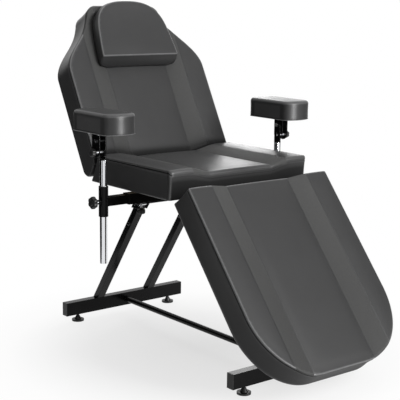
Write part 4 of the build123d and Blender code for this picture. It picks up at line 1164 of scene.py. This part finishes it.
def closed_rings(rings):
    """A closed mesh of a stack of rings around Z, each end closed to a point."""
    count = len(rings[0])
    ends = [[(0.0, 0.0, end[0, 2])] for end in (rings[0], rings[-1])]
    points = np.concatenate([ends[0], *rings, ends[1]])
    last = 1 + (len(rings) - 1) * count
    faces = [(0, 1 + (i + 1) % count, 1 + i) for i in range(count)] + stacked_faces(1, len(rings), count)
    faces += [(len(points) - 1, last + i, last + (i + 1) % count) for i in range(count)]
    return points, faces


def pan_head_screw(head_width, head_height, shank_width, shank_length):
    """A pan-head screw along +Z with its head under Z = 0 and a cross recess in it."""
    head, shank = head_width / 2, shank_width / 2
    rows = [(head * share, -head_height + head_height * 0.3 * share ** 3)
            for share in (0.12, 0.22, 0.34, 0.46, 0.52, 0.66, 0.84)]
    rows += [(head * 0.95, -head_height * 0.52), (head, -head_height * 0.34), (head, -0.0002), (head * 0.97, 0.0),
             (shank, 0.0), (shank, shank_length - shank * 1.4), (shank * 0.3, shank_length)]
    angles = np.linspace(0, 2 * math.pi, 32, endpoint=False)
    points, faces = closed_rings([ring(radius, angles, z) for radius, z in rows])
    x, y = np.abs(points[:, 0]), np.abs(points[:, 1])
    slot = (np.minimum(x, y) < head * 0.13) & (np.maximum(x, y) < head * 0.5) & (points[:, 2] < -head_height * 0.6)
    points[slot, 2] += head_height * 0.55
    return points, faces


def threaded_rod(radius, pitch, low, high):
    """A screw thread along Z: its turns climb round the rod."""
    per_turn = 4
    angles = np.linspace(0, 2 * math.pi, 18, endpoint=False)
    rings = []
    for level in np.linspace(low, high, max(2, int(round((high - low) / pitch * per_turn))) + 1):
        phase = (level / pitch - angles / (2 * math.pi)) % 1.0
        rings.append(ring(radius - pitch * 0.5 * np.abs(2 * phase - 1), angles, level))
    return closed_rings(rings)


# Rings of a hand knob: shares of its radius, of its lobes' depth, of its hub's height and of its grip's thickness
GRIP_RINGS = (
    (0.36, 0.0, 0.0, 0.0), (0.4, 0.0, 0.12, 0.0), (0.4, 0.0, 0.8, 0.0), (0.46, 0.0, 1.0, 0.0), (0.7, 0.5, 1.0, 0.0),
    (0.93, 1.0, 1.0, 0.02), (0.98, 1.0, 1.0, 0.1), (1.0, 1.0, 1.0, 0.26), (1.0, 1.0, 1.0, 0.5),
    (1.0, 1.0, 1.0, 0.72), (0.975, 1.0, 1.0, 0.86), (0.92, 1.0, 1.0, 0.945), (0.82, 0.9, 1.0, 0.99),
    (0.7, 0.6, 1.0, 1.0), (0.56, 0.1, 1.0, 1.0), (0.53, 0.0, 1.0, 0.98), (0.51, 0.0, 1.0, 0.91),
    (0.48, 0.0, 1.0, 0.9), (0.46, 0.0, 1.0, 0.94), (0.25, 0.0, 1.0, 0.955),
)
LOBE_DEPTH = 0.2


def hand_grip(width, arms):
    """A lobed hand knob along +Z from its hub's foot, with a raised rim and a recessed cap."""
    angles = np.linspace(0, 2 * math.pi, 84, endpoint=False)
    lobed = 1 - LOBE_DEPTH + LOBE_DEPTH * np.abs(np.cos(arms.knob_lobes * angles / 2)) ** 0.8
    return closed_rings([ring(width / 2 * share * (1 - lobe + lobe * lobed), angles,
                              arms.hub_height * hub + arms.knob_thickness * grip)
                         for share, lobe, hub, grip in GRIP_RINGS])


def hand_knob(name, width, foot, axis, screw_length, arms):
    """A hand knob with its threaded screw, from its hub's foot outwards along an axis."""
    grip, grip_faces = hand_grip(width, arms)
    rod, rod_faces = threaded_rod(arms.thread_radius, arms.thread_pitch, -screw_length, arms.hub_height * 0.6)
    turn = Vector((0.0, 0.0, 1.0)).rotation_difference(Vector(axis)).to_matrix()
    points = np.concatenate([grip, rod]) @ np.array(turn).T + np.array(foot)
    faces = grip_faces + [tuple(len(grip) + i for i in face) for face in rod_faces]
    piece = add_piece(name, points, faces, [finish_for("black_plastic"), finish_for("zinc_steel")])
    for polygon in piece.data.polygons:
        if polygon.vertices[0] >= len(grip):
            polygon.material_index = 1
    return piece


def node_body(node):
    """The body that a piece of the frame rides on."""
    return body_of(frame["nodes"][node])[0]


# Operators

def section_covers(scene):
    """The covers of the three sections, as rows of (name, body, shape, place)."""
    sizes, sections = scene.chair_cushions, scene.chair_sections
    return (("seat", "base", seat_shape(sizes, sections), seat_place()),
            ("backrest", "backrest", backrest_shape(sizes, sections), hinged_place("backrest", sections.rail_half)),
            ("legrest", "leg_rest", legrest_shape(sizes, sections), hinged_place("legrest", sections.rail_half)))


class CHAIR_OT_topstitching(bpy.types.Operator):
    """Sew a row of stitches beside every seam of the three cushions."""

    bl_idname = "chair.topstitching"
    bl_label = "Topstitching"

    def execute(self, context):
        sizes, sections = context.scene.chair_cushions, context.scene.chair_sections
        growth = stitch_growth()
        for name, body, shape, place in section_covers(context.scene):
            covered_from = sections.pillow_start if name == "backrest" else math.inf
            paths = seam_paths(shape, sizes, sections.pillow_width / 2, covered_from)
            source = line_source([place.points(shape.warp(path)) for path in paths])
            piece = growth.grown(f"{name}_topstitching", source, {
                "Pitch": sizes.stitch_pitch, "Length": sizes.stitch_length, "Thickness": sizes.thread_size,
                "Finish": finish_for("thread")})
            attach(piece, body)
        return {"FINISHED"}


# How far stitches lie from their seam, stay from a cushion's edge and stay from the pillow
STITCH_OFFSET, EDGE_GAP, PILLOW_GAP = 0.0045, 0.012, 0.006


def seam_paths(shape, sizes, pillow_reach, covered_from):
    """The lines beside a face's seams, as rows of (x, s, n), short of its edges and of the pillow."""
    loop = whole_outline(spaced(shape.half, 0.02, (), 0.0))
    paths = []
    for width in (sizes.bolster_seam + STITCH_OFFSET, sizes.channel_seam - STITCH_OFFSET):
        for side in (-1, 1):
            s = np.arange(loop[:, 1].min(), loop[:, 1].max(), 0.01)
            row = np.column_stack([np.full(len(s), side * width), s])
            row = row[inside_loop(row, loop) & (loop_distance_along(row, loop) > EDGE_GAP)]
            if width < pillow_reach:
                row = row[row[:, 1] < covered_from - PILLOW_GAP]
            height = shape.top(row[:, 0], row[:, 1]) + sizes.thread_size * 0.2
            paths.append(np.column_stack([row, height]))
    return paths


def loop_distance_along(points, loop):
    """How far points lie from a closed loop's edges."""
    start, way = loop[None], (np.roll(loop, -1, 0) - loop)[None]
    share = ((points[:, None] - start) * way).sum(2) / np.maximum((way ** 2).sum(2), 1e-12)
    nearest = start + way * np.clip(share, 0, 1)[..., None]
    return np.linalg.norm(points[:, None] - nearest, axis=2).min(1)


# Where a section's screws stand, from its hinge
SCREW_ROWS = {"backrest": (0.1, 0.295, 0.49), "legrest": (0.1, 0.305, 0.51)}


class CHAIR_OT_board_screws(bpy.types.Operator):
    """Drive the screws that hold the boards of the cushions and of the arm pads."""

    bl_idname = "chair.board_screws"
    bl_label = "Board Screws"

    def execute(self, context):
        screws, sections = context.scene.chair_screws, context.scene.chair_sections
        growth = screw_growth()
        wide = self.pattern(screws.head_width, screws.head_height, screws.shank_width, screws.shank_length)
        head, rail = screws.head_width / 2, 2 * sections.rail_half
        self.drive(growth, wide, "seat_screws", self.corners("seat_screws", head, screws.head_height), 0.0)
        for section, along in SCREW_ROWS.items():
            local = [(side * screws.rail_reach, s, -rail) for side in (-1, 1) for s in along]
            places = hinged_place(section, sections.rail_half).points(local)
            self.drive(growth, wide, f"{section}_screws", places, hinged_angle(section))
        low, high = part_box("left_pad_screws")
        small = self.pattern(screws.pad_head_width, screws.pad_head_height, screws.pad_shank_width,
                             high.z - low.z - screws.pad_head_height)
        for side in ("left", "right"):
            node = f"{side}_pad_screws"
            places = self.corners(node, screws.pad_head_width / 2, screws.pad_head_height)
            self.drive(growth, small, node, places, 0.0)
        for pattern in (wide, small):
            bpy.data.objects.remove(pattern)
        return {"FINISHED"}

    def pattern(self, *sizes):
        """One screw, as the shape that is repeated."""
        return add_piece("screw_pattern", *pan_head_screw(*sizes), [finish_for("zinc_steel")])

    def corners(self, node, inset, head_height):
        """The screws' places at the four corners of a node's box."""
        low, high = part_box(node)
        return [(x, y, low.z + head_height) for x in (low.x + inset, high.x - inset)
                for y in (low.y + inset, high.y - inset)]

    def drive(self, growth, pattern, node, places, tilt):
        """Puts the screws of one node in place of its plain ones."""
        source = line_source([[place] for place in places])
        piece = growth.grown(f"cross_recess_{node}", source, {
            "Screw": pattern, "Turn": (tilt, 0.0, 0.0), "Finish": finish_for("zinc_steel")})
        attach(piece, node_body(node))
        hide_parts(node)


class CHAIR_OT_hand_knobs(bpy.types.Operator):
    """Build the lobed hand knobs of both armrests with their screws."""

    bl_idname = "chair.hand_knobs"
    bl_label = "Hand Knobs"

    def execute(self, context):
        arms = context.scene.chair_armrests
        reach = arms.knob_thickness + arms.hub_height
        for side, sign in (("left", -1.0), ("right", 1.0)):
            for kind in ("sleeve_knob", "tilt_knob", "arm_lock_knob"):
                node = f"{side}_{kind}"
                low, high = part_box(node)
                middle = (low + high) / 2
                if kind == "arm_lock_knob":
                    width, axis = high.x - low.x, (0.0, 0.0, -1.0)
                    foot, length = (middle.x, middle.y, low.z + reach), high.z - low.z - reach
                else:
                    outer, tip = (low.x, high.x) if sign < 0 else (high.x, low.x)
                    width, axis = high.z - low.z, (sign, 0.0, 0.0)
                    foot, length = (outer - sign * reach, middle.y, middle.z), abs(outer - tip) - reach
                piece = hand_knob(f"{side}_lobed_{kind}", width, foot, axis, length, arms)
                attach(piece, node_body(node))
                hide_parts(node)
        return {"FINISHED"}


# How far round the pillow the backrest's cover is held, and how far up the pillow's underside is
PILLOW_MARGIN, UNDERSIDE_HOLD = 0.012, 0.014


class CHAIR_OT_section_cushions(bpy.types.Operator):
    """Build the cushions of the seat, the backrest and the leg rest with their sewn strips."""

    bl_idname = "chair.section_cushions"
    bl_label = "Section Cushions"

    def execute(self, context):
        sections = context.scene.chair_sections

        def under_pillow(x, s, n):
            beside = np.abs(x) < sections.pillow_width / 2 + PILLOW_MARGIN
            return np.where(beside & (s > sections.pillow_start - PILLOW_MARGIN), 1.0, 0.0)

        for name, body, shape, place in section_covers(context.scene):
            fixed = under_pillow if name == "backrest" else None
            piece = upholster(f"sewn_{name}_cushion", shape, place, fixed, strips=True)
            settle(piece, body, "upholstery", 0.9, f"{name}_cushion")
        return {"FINISHED"}


class CHAIR_OT_head_pillow(bpy.types.Operator):
    """Build the head pillow on the backrest's face."""

    bl_idname = "chair.head_pillow"
    bl_label = "Head Pillow"

    def execute(self, context):
        sizes, sections = context.scene.chair_cushions, context.scene.chair_sections

        def underside(x, s, n):
            return np.where(n < sizes.thickness - sizes.channel_depth + UNDERSIDE_HOLD, 1.0, 0.0)

        place = hinged_place("backrest", sections.rail_half)
        piece = upholster("stuffed_head_pillow", pillow_shape(sizes, sections), place, underside)
        settle(piece, "backrest", "upholstery", 0.85, "head_pillow")
        return {"FINISHED"}


class CHAIR_OT_arm_pads(bpy.types.Operator):
    """Build both arm pads."""

    bl_idname = "chair.arm_pads"
    bl_label = "Arm Pads"

    def execute(self, context):
        arms = context.scene.chair_armrests
        for side in ("left", "right"):
            low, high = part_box(f"{side}_arm_pad")
            middle = (low + high) / 2
            place = Place((middle.x, middle.y, low.z), (0.0, 1.0, 0.0), (0.0, 0.0, 1.0))
            piece = upholster(f"{side}_sewn_arm_pad", pad_shape(arms), place)
            settle(piece, f"{side}_pad", "upholstery", 0.9, f"{side}_arm_pad")
        return {"FINISHED"}


def settle(piece, body, slot_name, fill, *nodes):
    """Lets a padded piece ride on its body in place of its plain solid."""
    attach(piece, body)
    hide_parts(*nodes)


class CHAIR_OT_frame_finishes(bpy.types.Operator):
    """Give every piece of the frame its finish."""

    bl_idname = "chair.frame_finishes"
    bl_label = "Frame Finishes"

    def execute(self, context):
        for row in frame["record"]["subparts"]:
            node = frame["nodes"][row["node"]]
            for material_slot in node.material_slots:
                material_slot.material = finish_for(row["material_slot"])
        return {"FINISHED"}


class CHAIR_OT_stage(bpy.types.Operator):
    """Set up the floor, the lamps, the background and the camera."""

    bl_idname = "chair.stage"
    bl_label = "Stage"

    def execute(self, context):
        lay_floor()
        light_world(context.scene)
        hang_lamps()
        hang_panels()
        aim_camera(context.scene)
        context.scene.view_settings.view_transform = "Standard"
        return {"FINISHED"}


def lay_floor():
    """A wide floor that the camera sees as white where no shadow falls."""
    reach = 14.0
    corners = [(-reach, -reach, 0.0), (reach, -reach, 0.0), (reach, reach, 0.0), (-reach, reach, 0.0)]
    floor = add_piece("studio_floor", corners, [(0, 1, 2, 3)], [finish_for("floor")])


# How strongly the world lights the chair
WORLD_LIGHT = 0.24


def light_world(scene):
    """An even grey light, with a white background for the camera and for reflections."""
    world = bpy.data.worlds.new("studio_world")
    world.use_nodes = True
    scene.world = world
    world.node_tree.nodes.clear()
    nodes = Nodes(world.node_tree)
    plain, white = (nodes.node("ShaderNodeBackground", {}, {"Color": WHITE, "Strength": strength})
                    for strength in (WORLD_LIGHT, 1.0))
    blend = nodes.node("ShaderNodeMixShader", {}, {0: nodes.seen(), 1: plain, 2: white})
    nodes.node("ShaderNodeOutputWorld", {}, {"Surface": blend})


def hang_lamp(name, place, target, width, height, power):
    """One soft lamp that points at a place, square or as an upright strip."""
    lamp = bpy.data.lights.new(name, "AREA")
    lamp.size = width
    if height != width:
        lamp.shape = "RECTANGLE"
        lamp.size_y = height
    lamp.energy = power
    holder = bpy.data.objects.new(name, lamp)
    way = Vector(target) - Vector(place)
    holder.matrix_world = Matrix.Translation(place) @ way.to_track_quat("-Z", "Y").to_matrix().to_4x4()
    bpy.context.scene.collection.objects.link(holder)
    return holder


# Each lamp's name, place, target, width, height and power, and the rays that don't meet it
LAMPS = (
    ("key_lamp", (1.3, -3.5, 2.7), (0.0, 0.0, 0.7), 2.0, 2.0, 112.0, None),
    ("top_lamp", (0.6, 0.2, 3.6), (0.0, 0.1, 0.5), 2.6, 2.6, 30.0, None),
    ("rear_lamp", (2.6, 2.4, 2.0), (0.0, 0.0, 0.7), 1.6, 1.6, 40.0, "visible_glossy"),
    ("strip_lamp", (0.75, -3.1, 0.9), (0.0, -0.2, 0.9), 0.2, 2.4, 250.0, "visible_diffuse"),
    ("rear_shine_lamp", (3.3, 2.9, 1.5), (0.0, 0.0, 0.7), 1.0, 1.6, 5.5, "visible_diffuse"),
    ("seat_shine_lamp", (2.872, 3.194, 1.5), (0.0, 0.0, 0.7), 0.365, 1.6, 5.3, "visible_diffuse"),
)


def hang_lamps():
    """A broad key lamp in front on the right, softer ones above and behind, and three that only gloss shows."""
    for *row, hidden_from in LAMPS:
        holder = hang_lamp(*row)
        if hidden_from:
            setattr(holder, hidden_from, False)


def hang_panel(name, low, high):
    """An upright black panel between two floor corners that only mirror-like surfaces show."""
    corners = [(low[0], low[1], low[2]), (high[0], high[1], low[2]), (high[0], high[1], high[2]),
               (low[0], low[1], high[2])]
    panel = add_piece(name, corners, [(0, 1, 2, 3)], [finish_for("black_panel")])
    for rays in ("camera", "diffuse", "shadow", "transmission"):
        setattr(panel, f"visible_{rays}", False)


def hang_panels():
    """Black panels around the chair that give the chrome and the gloss of the sides their dark stripes."""
    hang_panel("left_rear_panel", (-2.1, 0.1, 0.0), (0.2, 2.24, 1.1))
    hang_panel("left_panel", (-3.0, -2.0, 0.0), (-3.0, -0.8, 2.6))
    hang_panel("right_panel", (2.9, -1.7, 0.0), (2.9, 0.4, 2.6))


# The camera's place in metres, its turn, tilt and roll in degrees, and its sensor and lens in millimetres
CAMERA_PLACE, CAMERA_ANGLES = (-2.3654, -2.8544, 1.2398), (38.847, 10.840, 0.727)
CAMERA_SENSOR, CAMERA_LENS = 36.0, 98.04


def aim_camera(scene):
    """The camera at the place from which the chair is seen from its front left."""
    place = Vector(CAMERA_PLACE)
    turn, tilt, roll = (math.radians(angle) for angle in CAMERA_ANGLES)
    ahead = Vector((math.cos(tilt) * math.sin(turn), math.cos(tilt) * math.cos(turn), -math.sin(tilt)))
    level = Vector((math.cos(turn), -math.sin(turn), 0.0))
    upright = level.cross(ahead)
    right = level * math.cos(roll) + upright * math.sin(roll)
    top = right.cross(ahead)
    camera = bpy.data.cameras.new("photo_camera")
    camera.sensor_width, camera.lens = CAMERA_SENSOR, CAMERA_LENS
    holder = bpy.data.objects.new("photo_camera", camera)
    rows = [(right[i], top[i], -ahead[i], place[i]) for i in range(3)] + [(0.0, 0.0, 0.0, 1.0)]
    holder.matrix_world = Matrix(rows)
    scene.collection.objects.link(holder)
    scene.camera = holder


class CHAIR_PT_panel(bpy.types.Panel):
    """Lists the chair's pieces, sizes and colours."""

    bl_idname = "CHAIR_PT_panel"
    bl_label = "Tattoo Chair"
    bl_space_type = "VIEW_3D"
    bl_region_type = "UI"
    bl_category = "Tattoo Chair"

    def draw(self, context):
        for step in STEPS:
            self.layout.operator(step.bl_idname)
        for group_name in GROUPS:
            group = getattr(context.scene, group_name)
            for name in group.bl_rna.properties.keys():
                if name not in ("rna_type", "name"):
                    self.layout.prop(group, name)


STEPS = (CHAIR_OT_frame_finishes, CHAIR_OT_section_cushions, CHAIR_OT_head_pillow, CHAIR_OT_arm_pads,
         CHAIR_OT_topstitching, CHAIR_OT_board_screws, CHAIR_OT_hand_knobs, CHAIR_OT_stage)
GROUPS = {"chair_cushions": ChairCushions, "chair_sections": ChairSections, "chair_armrests": ChairArmrests,
          "chair_screws": ChairScrews, "chair_finish": ChairFinish}


def register():
    """Registers the property groups, the operators and the panel."""
    for name, group in GROUPS.items():
        bpy.utils.register_class(group)
        setattr(bpy.types.Scene, name, PointerProperty(type=group))
    for step in STEPS:
        bpy.utils.register_class(step)
    bpy.utils.register_class(CHAIR_PT_panel)


def unregister():
    """Removes what register added."""
    bpy.utils.unregister_class(CHAIR_PT_panel)
    for step in reversed(STEPS):
        bpy.utils.unregister_class(step)
    for name, group in GROUPS.items():
        delattr(bpy.types.Scene, name)
        bpy.utils.unregister_class(group)


def main():
    """Registers the steps and builds every piece."""
    register()
    for step in STEPS:
        prefix, name = step.bl_idname.split(".")
        getattr(getattr(bpy.ops, prefix), name)()


if __name__ == "__main__":
    main()
